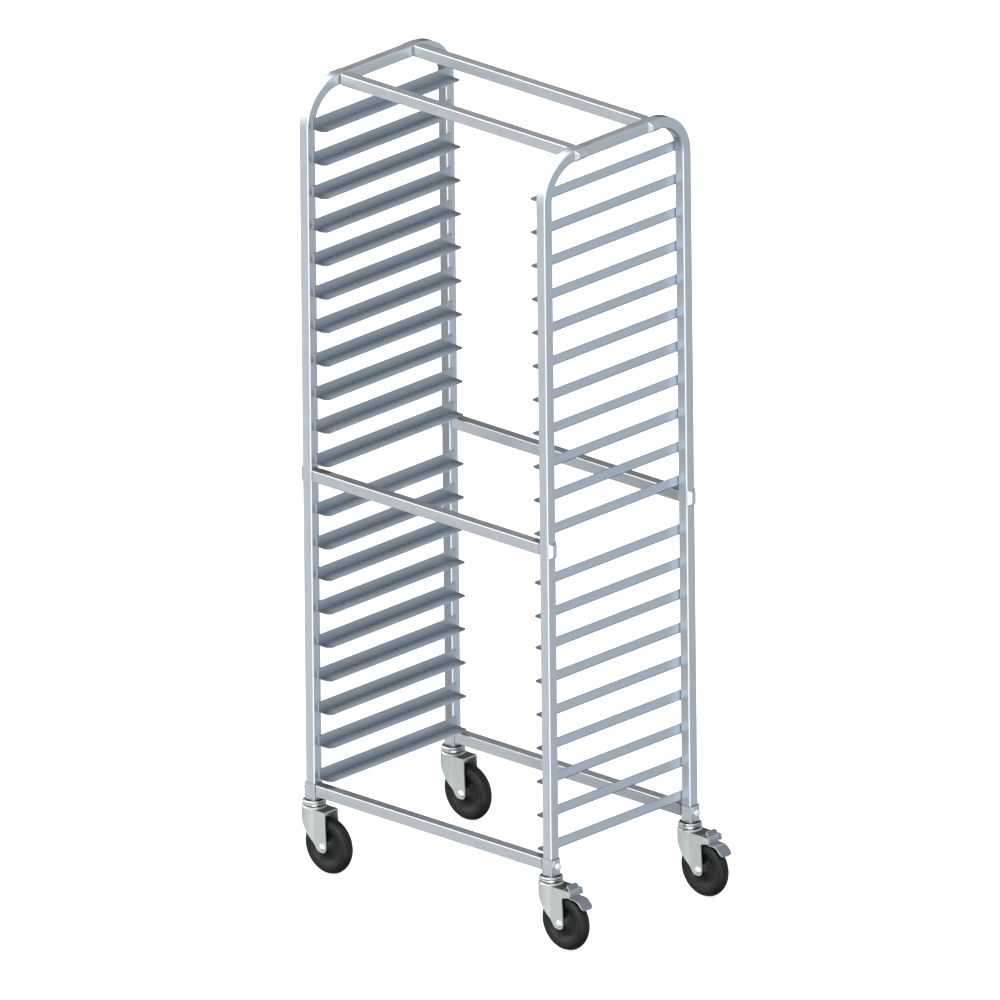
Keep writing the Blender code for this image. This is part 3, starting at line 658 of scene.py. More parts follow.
# the fork's faces that look up get painted shade
FORK_ZINC = zinc("zinc_plated_fork", (0.503, 0.531, 0.509), roughness=0.31,
                 metallic=0.74, upward_shade=0.98)
CUP_ZINC = zinc("zinc_plated_race", (0.470, 0.498, 0.496), roughness=0.20, spangle=0.6)
BOLT_ZINC = zinc("zinc_plated_bolt", (0.980, 0.985, 0.990), roughness=0.38, spangle=0.3)
BRAKE_ZINC = zinc("zinc_plated_brake", (0.390, 0.415, 0.445), roughness=0.34)
PIN_STEEL = zinc("steel_pin", (0.620, 0.630, 0.630), roughness=0.28, spangle=0.4)
# the black of the ring in the swivel gap is painted shade
GAP_SHADE_BLACK = rubber("gap_shade_black", (0.012, 0.012, 0.013), roughness=0.45, dust=0.5)
TYRE_RUBBER = rubber("black_rubber_tyre", (0.0052, 0.0052, 0.0054), roughness=0.44, dust=0.45)
HUB_PLASTIC = rubber("black_plastic_hub", (0.0052, 0.0055, 0.0056), roughness=0.30,
                     dust=0.35, rings=1.4)


# ------------------------------------------------------------ placing pieces
def piece(name, mesh, material, body, at, turn=0.0, stands_for=None):
    """An object on a body; the material is given to a mesh that has none yet."""
    obj = bpy.data.objects.new(name, mesh)
    if not mesh.materials:
        mesh.materials.append(material)
    obj.location = at
    obj.rotation_euler = (0.0, 0.0, turn)
    scene.collection.objects.link(obj)
    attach(obj, body)
    if stands_for:
        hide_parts(stands_for)


def half_turn(sign):
    """The turn about Z that carries a piece made for the negative side to the given side."""
    return 0.0 if sign < 0 else math.pi


# ------------------------------------------------------------ side tubes
def side_stations():
    """Centre-line points (y, z, bent); bent rises from 0 to 1 and back through each bend."""
    steps = 28
    radius = BEND_RADIUS - TUBE / 2
    straight = POST_Y - radius
    spring = TOP_Z - BEND_RADIUS
    leg = (FOOT_Z, FOOT_Z + 0.02, (FOOT_Z + spring) / 2)
    stations = [(-POST_Y, z, 0.0) for z in leg]
    for centre_y, start in ((-straight, 180), (straight, 90)):
        for i in range(steps + 1):
            angle = math.radians(start - 90 * i / steps)
            stations.append((centre_y + radius * math.cos(angle),
                             spring + radius * math.sin(angle), math.sin(math.pi * i / steps)))
    return stations + [(POST_Y, z, 0.0) for z in reversed(leg)]


def dense(outline, wear_and_shade):
    """Five more points across each flat, so that the faces of a bend can be dished."""
    more, more_wear = [], []
    for i, amount in enumerate(wear_and_shade):
        start, end = Vector(outline[i]), Vector(outline[(i + 1) % len(outline)])
        more.append(tuple(start))
        more_wear.append(amount)
        if (end - start).length > TUBE * 0.5:
            more += [tuple(start.lerp(end, k / 6)) for k in range(1, 6)]
            more_wear += [0.0] * 5
    return more, more_wear


def side_tube_shape(darkening):
    """A side tube about X = 0: outside skin, dished bends and open feet.

    The given amount darkens the inner face of the leg on +Y, or if negative of the leg on -Y:
    painted shade."""
    outline, wear_and_shade = dense(*section(TUBE, TUBE, TUBE_CORNER, 6))
    stations = side_stations()
    path = [Vector((y, z)) for y, z, _ in stations]
    flat_half = TUBE / 2 - TUBE_CORNER
    rings = []
    for i, here in enumerate(path):
        bent = stations[i][2]
        before = (here - path[i - 1]).normalized() if i else (path[1] - here).normalized()
        after = (path[i + 1] - here).normalized() if i < len(path) - 1 else before
        both = before + after
        normal = Vector((-both.y, both.x)).normalized()         # points out of the U
        stretch = 1 / normal.dot(Vector((-before.y, before.x)))
        ring = []
        for x, out in outline:
            dish = 0.0
            if abs(x) < flat_half:
                across = math.cos(x / flat_half * math.pi / 2) ** 2
                if out < -TUBE / 2 + ON_FACE:
                    dish = 0.0007 * bent * across
                elif out > TUBE / 2 - ON_FACE:
                    dish = -0.00025 * bent * across
            reach = out * stretch + dish
            ring.append((x, here.x + normal.x * reach, here.y + normal.y * reach))
        rings.append(ring)
    shape = Shape()
    made = shape.skin(rings, lengths(outline), lengths(path, closed=False), wear_and_shade)
    for ring, (y, _, _) in zip(made, stations):
        for i, (_, out) in zip(ring, outline):
            if out < -TUBE / 2 + ON_FACE and y * darkening > 0:
                shape.wear_and_shade[i] = -abs(darkening)
    bore_size = TUBE - 2 * TUBE_WALL
    bore, _ = dense(*section(bore_size, bore_size, 0.0014, 6))
    for _, sign in ENDS:
        foot = [[(x, sign * POST_Y + sign * out, z) for x, out in points]
                for points, z in ((outline, FOOT_Z), (bore, FOOT_Z), (bore, FOOT_Z + 0.018))]
        made = shape.skin(foot, lengths(outline), [0, 0.0016, 0.02], flip=sign > 0)
        shape.cap(made[-1], flip=sign > 0)
    return shape


# The right tube is turned half round, so both patches of painted shade fall on the back leg.
for side, sign, darkening in (("left", -1, 0.75), ("right", 1, -0.28)):
    name = f"side_tube_{side}"
    tube_mesh = settled(side_tube_shape(darkening).mesh(name), weld=2e-6)
    piece(f"{name}_skin", tube_mesh, TUBE_METAL, "rack_frame",
          (MID_X + sign * POST_X, 0, 0), half_turn(sign), name)


# ------------------------------------------------------------ welded joint pads
def oriented(long, short, long_axis):
    """(Y size, Z size) of something whose long side lies along the given axis."""
    return (long, short) if long_axis == "Y" else (short, long)


def pad_shape(long_axis):
    """A pad that grows towards -X from X = 0, with rounded corners and a softened outer face."""
    edge = 0.0011                               # radius of the outer face's edge
    # (distance out, inset, how far the sides have drawn in from 0 to 1)
    stations = [(-0.0008, 0.0, 0.0), (0.0, 0.0, 0.0), (0.0004, 0.0, 0.03),
                (0.0025, 0.0, 0.28), (0.0055, 0.0, 0.61), (0.0079, 0.0, 0.88)]
    for k in range(1, 5):
        angle = math.radians(90 * k / 4)
        stations.append((0.0079 + edge * math.sin(angle), edge * (1 - math.cos(angle)),
                         0.88 + 0.12 * k / 4))
    rings = []
    for out, inset, drawn_in in stations:
        long = 0.0182 + (0.0134 - 0.0182) * drawn_in - inset
        short = 0.0124 + (0.0058 - 0.0124) * drawn_in - inset
        half_y, half_z = oriented(long, short, long_axis)
        outline, wear_and_shade = section(2 * half_y, 2 * half_z, 0.0016, 4, support=0.0004)
        rings.append([(-out, -y, z) for y, z in outline])
    shape = Shape()
    along = [0.0012 * k for k in range(len(rings))]
    made = shape.skin(rings, lengths(outline), along, wear_and_shade, flip=True)
    shape.cap(made[-1], flip=True)
    shape.cap(made[0])
    return shape


def pad_bead(long_axis):
    half_y, half_z = (0.0180, 0.0118) if long_axis == "Y" else (0.0122, 0.0180)
    outline, _ = section(2 * half_y, 2 * half_z, 0.0018, 3, support=0.0)
    return bead([(-0.0002, y, z) for y, z in outline], 0.0007, pitch=0.0018)


for long_axis, level, rail_y, z in (("Y", "top", TOP_RAIL_Y, TOP_RAIL_Z),
                                    ("Z", "middle", POST_Y, MIDDLE_Z)):
    pad_mesh = together("joint_pad", (settled(pad_shape(long_axis).mesh("pad")), TUBE_METAL),
                        (settled(pad_bead(long_axis).mesh("pad_weld")), WELD_METAL))
    for side, sign in SIDES:
        for end, end_sign in ENDS:
            at = (MID_X + sign * POST_OUTER_X, end_sign * rail_y, z)
            piece(f"joint_pad_{level}_{end}_{side}", pad_mesh, TUBE_METAL, "rack_frame",
                  at, half_turn(sign))


# ------------------------------------------------------------ cross rails
# painted shade of each rail: (on the upper face, on the front face towards +X)
RAIL_SHADE = {
    "top_rail_front": (0.26, 0.0), "top_rail_back": (0.30, 0.0),
    "middle_rail_front": (0.38, 0.0), "middle_rail_back": (0.92, 0.62),
    "bottom_rail_front": (0.38, 0.0), "bottom_rail_back": (0.74, 0.62),
}


def bar_shape(end_x, neck, neck_end, top_shade, front_shade):
    """A rail about X with chamfered ends and a narrower neck at each end."""
    outline, wear_and_shade = section(TUBE, TUBE, RAIL_CORNER, 5)
    trimmed, _ = section(TUBE - 0.0010, TUBE - 0.0010, RAIL_CORNER - 0.0004, 5)
    small, _ = section(neck, neck, 0.0012, 5)
    flat_half = TUBE / 2 - RAIL_CORNER + ON_FACE
    # painted shade on the upper face
    for i, (y, z) in enumerate(outline):
        if z > TUBE / 2 - ON_FACE and abs(y) < flat_half:
            wear_and_shade[i] = -top_shade
    stations = [-end_x, -end_x + 0.0004, -end_x * 0.5, 0.0, end_x * 0.5, end_x - 0.0004, end_x]
    rings = [[(x, y, z) for y, z in (trimmed if abs(x) == end_x else outline)] for x in stations]
    shape = Shape()
    made = shape.skin(rings, lengths(outline), [x + end_x for x in stations], wear_and_shade)
    # painted shade on the front face, growing towards +X
    if front_shade:
        for ring, x in zip(made, stations):
            for i, (y, z) in zip(ring, outline):
                if y < -TUBE / 2 + ON_FACE and abs(z) < flat_half:
                    shape.wear_and_shade[i] = -front_shade * max(0.0, (x + 0.10) / 0.43)
    # each neck is darkened through: painted shade in the gap at the rail's end
    for sign in (-1, 1):
        neck_rings = [[(sign * x, y, z) for y, z in points]
                      for points, x in ((trimmed, end_x), (small, end_x), (small, neck_end))]
        made = shape.skin(neck_rings, lengths(trimmed), [0, 0.002, 0.006],
                          [-1.0] * len(trimmed), flip=sign < 0)
        shape.cap(made[-1], flip=sign < 0)
    return shape


def rail_welds():
    """A bead round each end of a rail."""
    size = 0.0228
    outline, _ = section(size, size, 0.0014, 3, support=0.0)
    shape = Shape()
    for sign in (-1, 1):
        ring = [(sign * (INNER_X - 0.0004), y, z) for y, z in outline]
        shape.join(bead(ring, 0.0009, pitch=0.0017, seed=sign * 1.3))
    return shape


weld_mesh = settled(rail_welds().mesh("rail_weld"))
# (bar's half length, neck size, neck's end)
WELDED_ENDS = (0.3296, 0.0222, INNER_X - 0.0001)
BOTTOM_ENDS = (0.3295, 0.0206, 0.3313)
for level, rail_y, z in (("top", TOP_RAIL_Y, TOP_RAIL_Z), ("middle", POST_Y, MIDDLE_Z),
                         ("bottom", POST_Y, BOTTOM_Z)):
    for end, sign in ENDS:
        name = f"{level}_rail_{end}"
        sizes = BOTTOM_ENDS if level == "bottom" else WELDED_ENDS
        bar_mesh = settled(bar_shape(*sizes, *RAIL_SHADE[name]).mesh(name), weld=2e-6)
        if level != "bottom":
            bar_mesh = together(name, (bar_mesh, RAIL_METAL), (weld_mesh, WELD_METAL))
        piece(f"{name}_bar", bar_mesh, RAIL_METAL, "rack_frame",
              (MID_X, sign * rail_y, z), stands_for=name)


# ------------------------------------------------------------ corner sleeves, cups, bolts
SLEEVE_OUT, SLEEVE_IN, SLEEVE_BACK = 0.0027, 0.0016, 0.0011    # wall outside, inside, behind
SLEEVE_BASE = 0.1571


def sleeve_shape():
    """The front right sleeve about the post's centre line: outer side +X, front -Y."""
    low_x, high_x = -TUBE / 2 - SLEEVE_IN, TUBE / 2 + SLEEVE_OUT
    low_y, high_y = -TUBE / 2 - SLEEVE_OUT, TUBE / 2 + SLEEVE_BACK
    centre = ((low_x + high_x) / 2, (low_y + high_y) / 2)
    width, depth = high_x - low_x, high_y - low_y
    base, top = SLEEVE_BASE, SLEEVE_TOP
    # (height, inset, painted shade) up the outside
    stations = [
        (base, 0.0005, 1.0), (base + 0.0005, 0.0, 1.0), (base + 0.0022, 0.0, 0.9),
        (base + 0.0028, 0.0, 0.15), (base + 0.0044, 0.0, 0.0), (top - 0.0200, 0.0, 0.0),
        (top - 0.0034, 0.0, 0.0), (top - 0.0016, 0.00022, 0.45), (top - 0.0006, 0.0004, 0.75),
        (top, 0.0009, 0.9),
    ]
    # grain V up the outside, down the bore and back to the start
    along = [0, 0.0006, 0.0023, 0.0035, 0.0051, 0.0196, 0.0362, 0.038, 0.0394, 0.0398,
             0.0410, 0.0800, 0.0830]
    rings = []
    for z, inset, _ in stations:
        outline, wear_and_shade = section(width - 2 * inset, depth - 2 * inset, 0.0038 - inset * 0.5, 6,
                                centre=centre)
        rings.append([(x, y, z) for x, y in outline])
    bore, _ = section(TUBE + 0.0005, TUBE + 0.0005, TUBE_CORNER + 0.0001, 6)
    rings += [[(x, y, z) for x, y in bore] for z in (top - 0.0001, base)]
    rings.append(rings[0])
    darkenings = [darkening for _, _, darkening in stations] + [0.9, 1.0, 1.0]
    shape = Shape()
    made = shape.skin(rings, lengths(outline), along)
    # painted shade: dark at the foot over the cup, on the top chamfer and down the bore; the corner
    # arcs are darkened to take down their highlight
    for ring, darkening in zip(made, darkenings):
        for i, amount in zip(ring, wear_and_shade):
            shape.wear_and_shade[i] = -0.45 * amount * (1 - min(1.0, darkening * 2)) - darkening
    return shape


def cup_shape():
    """The upper race cup, turned: rolled rim, shoulder, groove and skirt."""
    # the third values are painted light: painted shade in the hollow inside the rim, in the groove
    # and underneath, and painted highlights on the rounded bulges
    profile = [(0.0070, 0.1482, -1.0), (0.0070, 0.1570, -1.0), (0.0205, 0.1570, -1.0),
               (0.0213, 0.1573, -1.0), (0.0215, 0.1584, -0.9)]
    rim = arc(0.02235, 0.1585, 0.00075, 150, 0, 7)
    profile += [(*point, -0.4 if k < 2 else 0.3) for k, point in enumerate(rim)]
    profile += [(0.0233, 0.1576, -0.1), (0.0236, 0.1569, -0.2)]
    profile += [(*point, 0.3) for point in arc(0.0244, 0.1557, 0.0009, 70, -20, 5)]
    profile += [(0.02505, 0.1546, -0.3), (0.02470, 0.1541, -0.95), (0.02485, 0.1536, -0.6)]
    profile += [(*point, 0.25) for point in arc(0.0243, 0.1522, 0.0010, 60, -10, 5)]
    profile += [(0.0253, 0.1512, 0.0), (0.0253, 0.1490, -0.1), (0.0251, 0.1481, -0.8),
                (0.0246, 0.1476, -1.0), (0.0226, 0.1476, -1.0), (0.0222, 0.1482, -1.0)]
    return lathe(profile, 72, closed_profile=True)


def clamp_bolt_shape():
    """Washer and hexagon head on +X from X = 0, about the bolt's own axis."""
    # the washer's values darken it: painted shade round the foot of the head
    washer = [(0.0052, 0.0, -1.0), (0.0064, 0.0, -1.0), (0.0064, 0.0006, -1.0),
              (0.0068, 0.0007, -0.9), (0.0070, 0.0010, -0.4), (0.0070, 0.0018, -0.3),
              (0.0068, 0.0021, -0.6), (0.0052, 0.0021, -0.8)]
    head_base, bolt_end = 0.0020, 0.0105
    out = Matrix.Rotation(math.radians(90), 4, "Y")             # +Z to +X
    shape = Shape().join(lathe(washer, 40), out)
    head = hex_head(bolt_end - head_base, head_base)
    return shape.join(head, out @ Matrix.Rotation(math.radians(30), 4, "Z"))


sleeve_mesh = settled(sleeve_shape().mesh("corner_sleeve"))
mirrored_sleeve = Shape().join(sleeve_shape(), Matrix.Scale(-1, 4, (1, 0, 0)))
sleeve_mirror = settled(mirrored_sleeve.mesh("corner_sleeve_left"))
cup_mesh = settled(cup_shape().mesh("race_cup"))
bolt_mesh = settled(clamp_bolt_shape().mesh("clamp_bolt"), bevel=0.00025)
for end, end_sign in ENDS:
    for side, sign in SIDES:
        where = f"{end}_{side}"
        at = (MID_X + sign * POST_X, end_sign * POST_Y, 0.0)
        # each back sleeve is the diagonally opposite front one turned half round
        mesh = sleeve_mesh if sign * end_sign < 0 else sleeve_mirror
        piece(f"corner_sleeve_{where}", mesh, SLEEVE_METAL, "rack_frame", at,
              half_turn(end_sign))
        piece(f"race_cup_{where}", cup_mesh, CUP_ZINC, "rack_frame", at)
        bolt_at = (MID_X + sign * (POST_OUTER_X + SLEEVE_OUT), end_sign * POST_Y, BOLT_Z)
        piece(f"clamp_bolt_{where}", bolt_mesh, BOLT_ZINC, "rack_frame", bolt_at,
              half_turn(-sign))


# ------------------------------------------------------------ pan runners
def runner_shape(flange_shade):
    """The left runner's outer skin: X = 0 on the flange's outer plane, Z = 0 at its top.

    The given amount darkens the flange: painted shade."""
    height, ledge = RUNNER_HEIGHT, RUNNER_LEDGE
    bend, end_radius = 0.0028, 0.0110
    round_start = ledge - end_radius

    def ledge_shade(x):
        """Painted shade, the flange's dark reflection in the ledge, fading from the bend to the
        ledge's edge.
        """
        return -0.62 * (1 - (x - bend) / (ledge - bend)) - 0.04

    # (x, z, value) down the flange, round the bend and out along the ledge; the values are painted
    # shade, darkening the flange's top edge against its highlight and the bend
    path = [
        (0.0, 0.0, -flange_shade - 0.30), (0.0, -0.0015, -flange_shade - 0.12), (0.0, -0.0040, -flange_shade),
        (0.0, -height * 0.5, -flange_shade), (0.0, -height + bend + 0.0030, 0.05 - flange_shade),
        (0.0, -height + bend + 0.0008, -flange_shade), (0.0, -height + bend, -0.45),
    ]
    path += [(x, z, -0.80) for x, z in arc(bend, -height + bend, bend, 180, 270, 6)[1:]]
    for x in (bend + 0.0008, 0.0058, 0.0090, 0.0130, 0.0170, 0.0205, round_start):
        path.append((x, -height, ledge_shade(x)))
    for k in range(1, 11):
        x = round_start + end_radius * math.sin(math.radians(9 * k))
        path.append((x, -height, ledge_shade(x) + (0.15 if k > 8 else 0.0)))

    inside = RUNNER_END_Y - end_radius - 0.0004
    # (y, how far the ledge is darkened, more towards its ends)
    half = [(RUNNER_END_Y, 0.62), (inside, 0.55), (inside - 0.006, 0.32),
            (inside - 0.014, 0.06), (inside - 0.07, 0.0)]
    stations = [(-y, darkening) for y, darkening in half] + [(0.0, 0.0)] + half[::-1]
    shape = Shape()
    made = []
    for y, darkening in stations:
        ring = []
        for x, z, amount in path:
            over = x - round_start
            reach = abs(y)
            if reach == RUNNER_END_Y and over > 0:      # the ledge's rounded corners
                reach -= end_radius - math.sqrt(max(0.0, end_radius ** 2 - over ** 2))
            ledge_part = min(1.0, max(0.0, (x - 0.004) / 0.010))
            place = (x, math.copysign(reach, y), z)
            ring.append(shape.point(place, max(-1.0, amount - darkening * ledge_part)))
        made.append(ring)
    across = lengths([(x, z) for x, z, _ in path], closed=False)
    for k in range(len(made) - 1):
        start, end = stations[k][0] + RUNNER_END_Y, stations[k + 1][0] + RUNNER_END_Y
        for i in range(len(path) - 1):
            shape.face((made[k][i], made[k + 1][i], made[k + 1][i + 1], made[k][i + 1]),
                       ((across[i], start), (across[i], end),
                        (across[i + 1], end), (across[i + 1], start)))
    return shape


def tack_shape():
    """Short beads along the flange's upper and lower parts, at both posts."""
    shape = Shape()
    for sign in (-1, 1):
        for z, seed in ((0.0001, 0.4), (-RUNNER_HEIGHT + 0.0034, 1.9)):
            ends = (RUNNER_END_Y - 0.0012, POST_Y - TUBE / 2 + 0.0030)
            path = [(-0.0001, sign * y, z) for y in ends]
            shape.join(bead(path, 0.00085, pitch=0.0017, closed=False, seed=seed + sign))
    return shape


def runner_mesh(side, flange_shade):
    skin = facing(runner_shape(flange_shade).mesh(f"runner_{side}"), (0, 0, -0.008), (-1, 0, 0))
    angle = settled(skin, solid=0.0016, bevel=0.00035, angle=45)
    return together(f"runner_{side}", (angle, RUNNER_METAL), (tack_mesh, WELD_METAL))


tack_mesh = settled(tack_shape().mesh("runner_tacks"))
# the left runners get painted shade on their flanges, the right ones none
runner_meshes = {"left": runner_mesh("left", flange_shade=0.20), "right": runner_mesh("right", flange_shade=0.0)}
for number in range(1, 21):
    for side, sign in SIDES:
        node = f"runner_{side}_{number:02d}"
        low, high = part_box(node)
        flange_x = low.x if sign < 0 else high.x
        piece(f"{node}_angle", runner_meshes[side], RUNNER_METAL, "rack_frame",
              (flange_x, 0.0, high.z), half_turn(sign), node)


# ------------------------------------------------------------ caster forks
# Caster pieces are made about the stem's axis, the floor at Z = 0, trailing towards +X.
FORK_HALF = 0.0215              # outer half width across the cheeks
FORK_WALL = 0.0026
HEAD_RADIUS = 0.0275            # round back of the fork
FORK_BLEND = 0.0120             # hollow between the round back and a cheek
FORK_TOP = 0.1426
FORK_EDGE_X = 0.0485            # +X edge of the flat top
WHEEL_X, WHEEL_Z = 0.0425, 0.0635
ARM_END = 0.0736                # +X end of a braked fork's arms

# (x, z) points of the cheeks' outline
CHEEK_START = (0.0209, 0.0625)  # where the lower edge meets the toe
TOE_END = (0.0529, 0.0620)
LOWER_EDGE = [(-0.0320, 0.1360), (-0.0200, 0.1210), (-0.0120, 0.1090), (0.0012, 0.0910),
              (0.0148, 0.0720), CHEEK_START]
TOE = [CHEEK_START, (0.0232, 0.0587), (0.0256, 0.0552), (0.0285, 0.0525), (0.0311, 0.0513),
       (0.0340, 0.0507), (0.0375, 0.0503), (0.0410, 0.0503), (0.0440, 0.0507),
       (0.0467, 0.0517), (0.0492, 0.0533), (0.0510, 0.0555), (0.0523, 0.0585), TOE_END]
PLAIN_EDGE = [TOE_END, (0.0527, 0.0690), (0.0512, 0.1020), (0.0496, 0.1350),
              (0.0490, 0.1390), (FORK_EDGE_X, FORK_TOP)]
BRAKE_EDGE = [TOE_END, (0.0527, 0.0690), (0.0514, 0.0950), (0.0502, 0.1195),
              (0.0506, 0.1217), (0.0516, 0.1235), (0.0535, 0.1246), (0.0560, 0.1254),
              (0.0640, 0.1269), (0.0704, 0.1281), (0.0722, 0.1288), (0.0732, 0.1299),
              (ARM_END, 0.1314), (ARM_END, 0.1400), (0.0729, 0.1418), (0.0716, FORK_TOP)]


def smooth_curve(points, x):
    """Height at x of a monotone Hermite curve through (x, y) points, x increasing."""
    count = len(points)
    x = min(max(x, points[0][0]), points[-1][0])
    k = max(i for i in range(count - 1) if points[i][0] <= x)
    slopes = [(end[1] - start[1]) / (end[0] - start[0]) for start, end in zip(points, points[1:])]

    def tangent(i):
        if i == 0:
            return slopes[0]
        if i == count - 1:
            return slopes[-1]
        before, after = slopes[i - 1], slopes[i]
        return 0.0 if before * after <= 0 else 2 * before * after / (before + after)

    (start_x, start_y), (end_x, end_y) = points[k], points[k + 1]
    span = end_x - start_x
    t = (x - start_x) / span
    return ((2 * t ** 3 - 3 * t ** 2 + 1) * start_y
            + (t ** 3 - 2 * t ** 2 + t) * span * tangent(k)
            + (-2 * t ** 3 + 3 * t ** 2) * end_y
            + (t ** 3 - t ** 2) * span * tangent(k + 1))


def toe_at(part, distances):
    """The toe's point a part (0 to 1) of the way along it."""
    target = part * distances[-1]
    for k in range(len(TOE) - 1):
        if target <= distances[k + 1] + 1e-12:
            step = (target - distances[k]) / (distances[k + 1] - distances[k])
            return Vector(TOE[k]).lerp(Vector(TOE[k + 1]), step)
    return Vector(TOE[-1])


def cheek_columns(braked, edge, rows):
    """Columns of points up one cheek, from its +X edge back to where the blend starts."""
    distances = lengths(TOE, closed=False)
    parts = [distance / distances[-1] for distance in distances]
    back_x = CHEEK_START[0]
    top_end = edge[-1][0]
    if braked:                  # one column lands exactly on the flat top's edge
        exact = (FORK_EDGE_X - back_x) / (top_end - back_x)
        parts = sorted(set([part for part in parts if abs(part - exact) > 0.02] + [exact]))
    columns = []
    for part in reversed(parts):
        base = toe_at(part, distances)
        top_x = back_x + part * (top_end - back_x)
        pull = part ** 1.6 if braked else part
        column = []
        for k, row in enumerate(rows):
            straight = edge[0][0] + (top_end - edge[0][0]) * row
            x = (1 - row) * base.x + row * top_x + pull * (edge[k][0] - straight)
            z = (1 - row) * base.y + row * FORK_TOP
            if part == 1.0:
                x, z = edge[k]
            column.append((x, FORK_HALF, z))
        columns.append(column)
    return columns


def back_plan():
    """(x, y) points in plan from a cheek through the blend and round to the back's middle."""
    blend_y = FORK_HALF + FORK_BLEND
    blend_x = math.sqrt((HEAD_RADIUS + FORK_BLEND) ** 2 - blend_y ** 2)
    plan = []
    start = math.atan2(-blend_y, -blend_x)
    for i in range(1, 7):
        angle = -math.pi / 2 + (start + math.pi / 2) * i / 6
        plan.append((blend_x + FORK_BLEND * math.cos(angle),
                     blend_y + FORK_BLEND * math.sin(angle)))
    meet = math.atan2(blend_y, blend_x)
    for i in range(1, 15):
        angle = meet + (math.pi - meet) * i / 14
        plan.append((HEAD_RADIUS * math.cos(angle), HEAD_RADIUS * math.sin(angle)))
    return plan


def fork_shell(braked):
    """The pressed fork's outer skin, open below and towards +X, with its flat top."""
    edge = BRAKE_EDGE if braked else PLAIN_EDGE
    bottom, top = edge[0][1], edge[-1][1]
    rows = [(z - bottom) / (top - bottom) for _, z in edge]
    columns = cheek_columns(braked, edge, rows)
    for x, y in back_plan():
        low = smooth_curve(LOWER_EDGE, x)
        columns.append([(x, y, low + (FORK_TOP - low) * row) for row in rows])
    columns += [[(x, -y, z) for x, y, z in column] for column in reversed(columns[:-1])]
    along = [0.0]
    middle = len(rows) // 2
    for here, following in zip(columns, columns[1:]):
        start, end = here[middle], following[middle]
        along.append(along[-1] + math.hypot(end[0] - start[0], end[1] - start[1]))
    shape = Shape()
    made = shape.skin(columns, [row * 0.08 for row in rows], along, closed=False)
    shape.cap([column[-1] for column in made if shape.verts[column[-1]].x < FORK_EDGE_X + 1e-4])
    return shape


def fork_mesh(braked):
    mesh = cleaned(fork_shell(braked).mesh("fork"))
    facing(mesh, (-HEAD_RADIUS, 0, 0.140), (-1, 0, 0))
    return settled(mesh, solid=FORK_WALL, bevel=0.0007, segments=3, angle=42)


def fork_head_shape():
    """The raised swivel head on top of the fork, with its rounded shoulder."""
    profile = [(0.0271, 0.1410), (0.0271, 0.1428)]
    profile += arc(0.0256, 0.1430, 0.0015, 0, 70, 5)
    profile += [(0.0250, 0.1452), (0.0243, 0.1461), (0.0236, 0.1465), (0.0228, 0.1466),
                (0.0065, 0.1466)]
    return lathe(profile, 72)


def gap_shade_ring_shape():
    """A black ring filling the gap between the fork's head and the race cup: painted shade in the
    gap.
    """
    profile = [(0.0100, 0.1464), (0.0232, 0.1464), (0.0236, 0.1467), (0.0236, 0.1472),
               (0.0232, 0.1475), (0.0100, 0.1475)]
    return lathe(profile, 64, closed_profile=True)


def king_pin_shape():
    profile = [(0.0060, 0.1450), (0.0060, 0.1588), (0.0086, 0.1588), (0.0090, 0.1592),
               (0.0090, 0.1622), (0.0082, 0.1630)]
    return lathe(profile, 36)


def axle_shape():
    """The axle and its two thrust washers, along Y about the axle's own axis."""
    shape = lathe([(0.0050, 0.0188), (0.0050, -0.0188)], 32, "Y")
    washer = [(0.0052, 0.0178), (0.0086, 0.0178), (0.0088, 0.0180), (0.0088, 0.0186),
              (0.0052, 0.0188)]
    for sign in (-1, 1):
        ring = [(radius, sign * out) for radius, out in washer]
        shape.join(lathe(ring, 36, "Y", closed_profile=True))
    return shape


def axle_end_shape(button):
    """A washer outside a cheek, with a domed button on -Y or a hexagon nut on +Y."""
    washer = [(0.0052, 0.0), (0.0070, 0.0), (0.0072, 0.0002), (0.0072, 0.0006),
              (0.0069, 0.0008), (0.0052, 0.0008)]
    head = Shape().join(lathe(washer, 40), Matrix.Translation((0, 0, FORK_HALF)))
    if button:
        radius, base = 0.0079, FORK_HALF + 0.0010
        # the dome's foot is darkened, painted shade against the washer, and the dome lifted, a
        # painted highlight
        dome = [(0.0078, FORK_HALF + 0.0006, -0.8), (radius, base, 0.2)]
        for degrees in range(8, 89, 8):
            angle = math.radians(degrees)
            dome.append((radius * math.cos(angle), base + 0.0028 * math.sin(angle), 0.2))
        head.join(lathe(dome, 48))
    else:
        head.join(hex_head(0.0022, FORK_HALF + 0.0006))
        collar = [(0.0052, 0.0024), (0.0052, 0.0033), (0.0048, 0.0037), (0.0032, 0.0037)]
        head.join(lathe([(radius, FORK_HALF + out) for radius, out in collar], 36))
    return Shape().join(head, Matrix.Rotation(math.radians(90 if button else -90), 4, "X"))


fork_meshes = {True: fork_mesh(True), False: fork_mesh(False)}
head_mesh = together("fork_head", (settled(fork_head_shape().mesh("fork_head")), FORK_ZINC),
                     (settled(gap_shade_ring_shape().mesh("swivel_gap_shade")), GAP_SHADE_BLACK),
                     (settled(king_pin_shape().mesh("king_pin")), PIN_STEEL))
axle_ends = [settled(axle_end_shape(button).mesh("axle_head"), bevel=0.0002)
             for button in (True, False)]
axle_mesh = together("axle", (settled(axle_shape().mesh("axle")), PIN_STEEL),
                     *((mesh, BOLT_ZINC) for mesh in axle_ends))


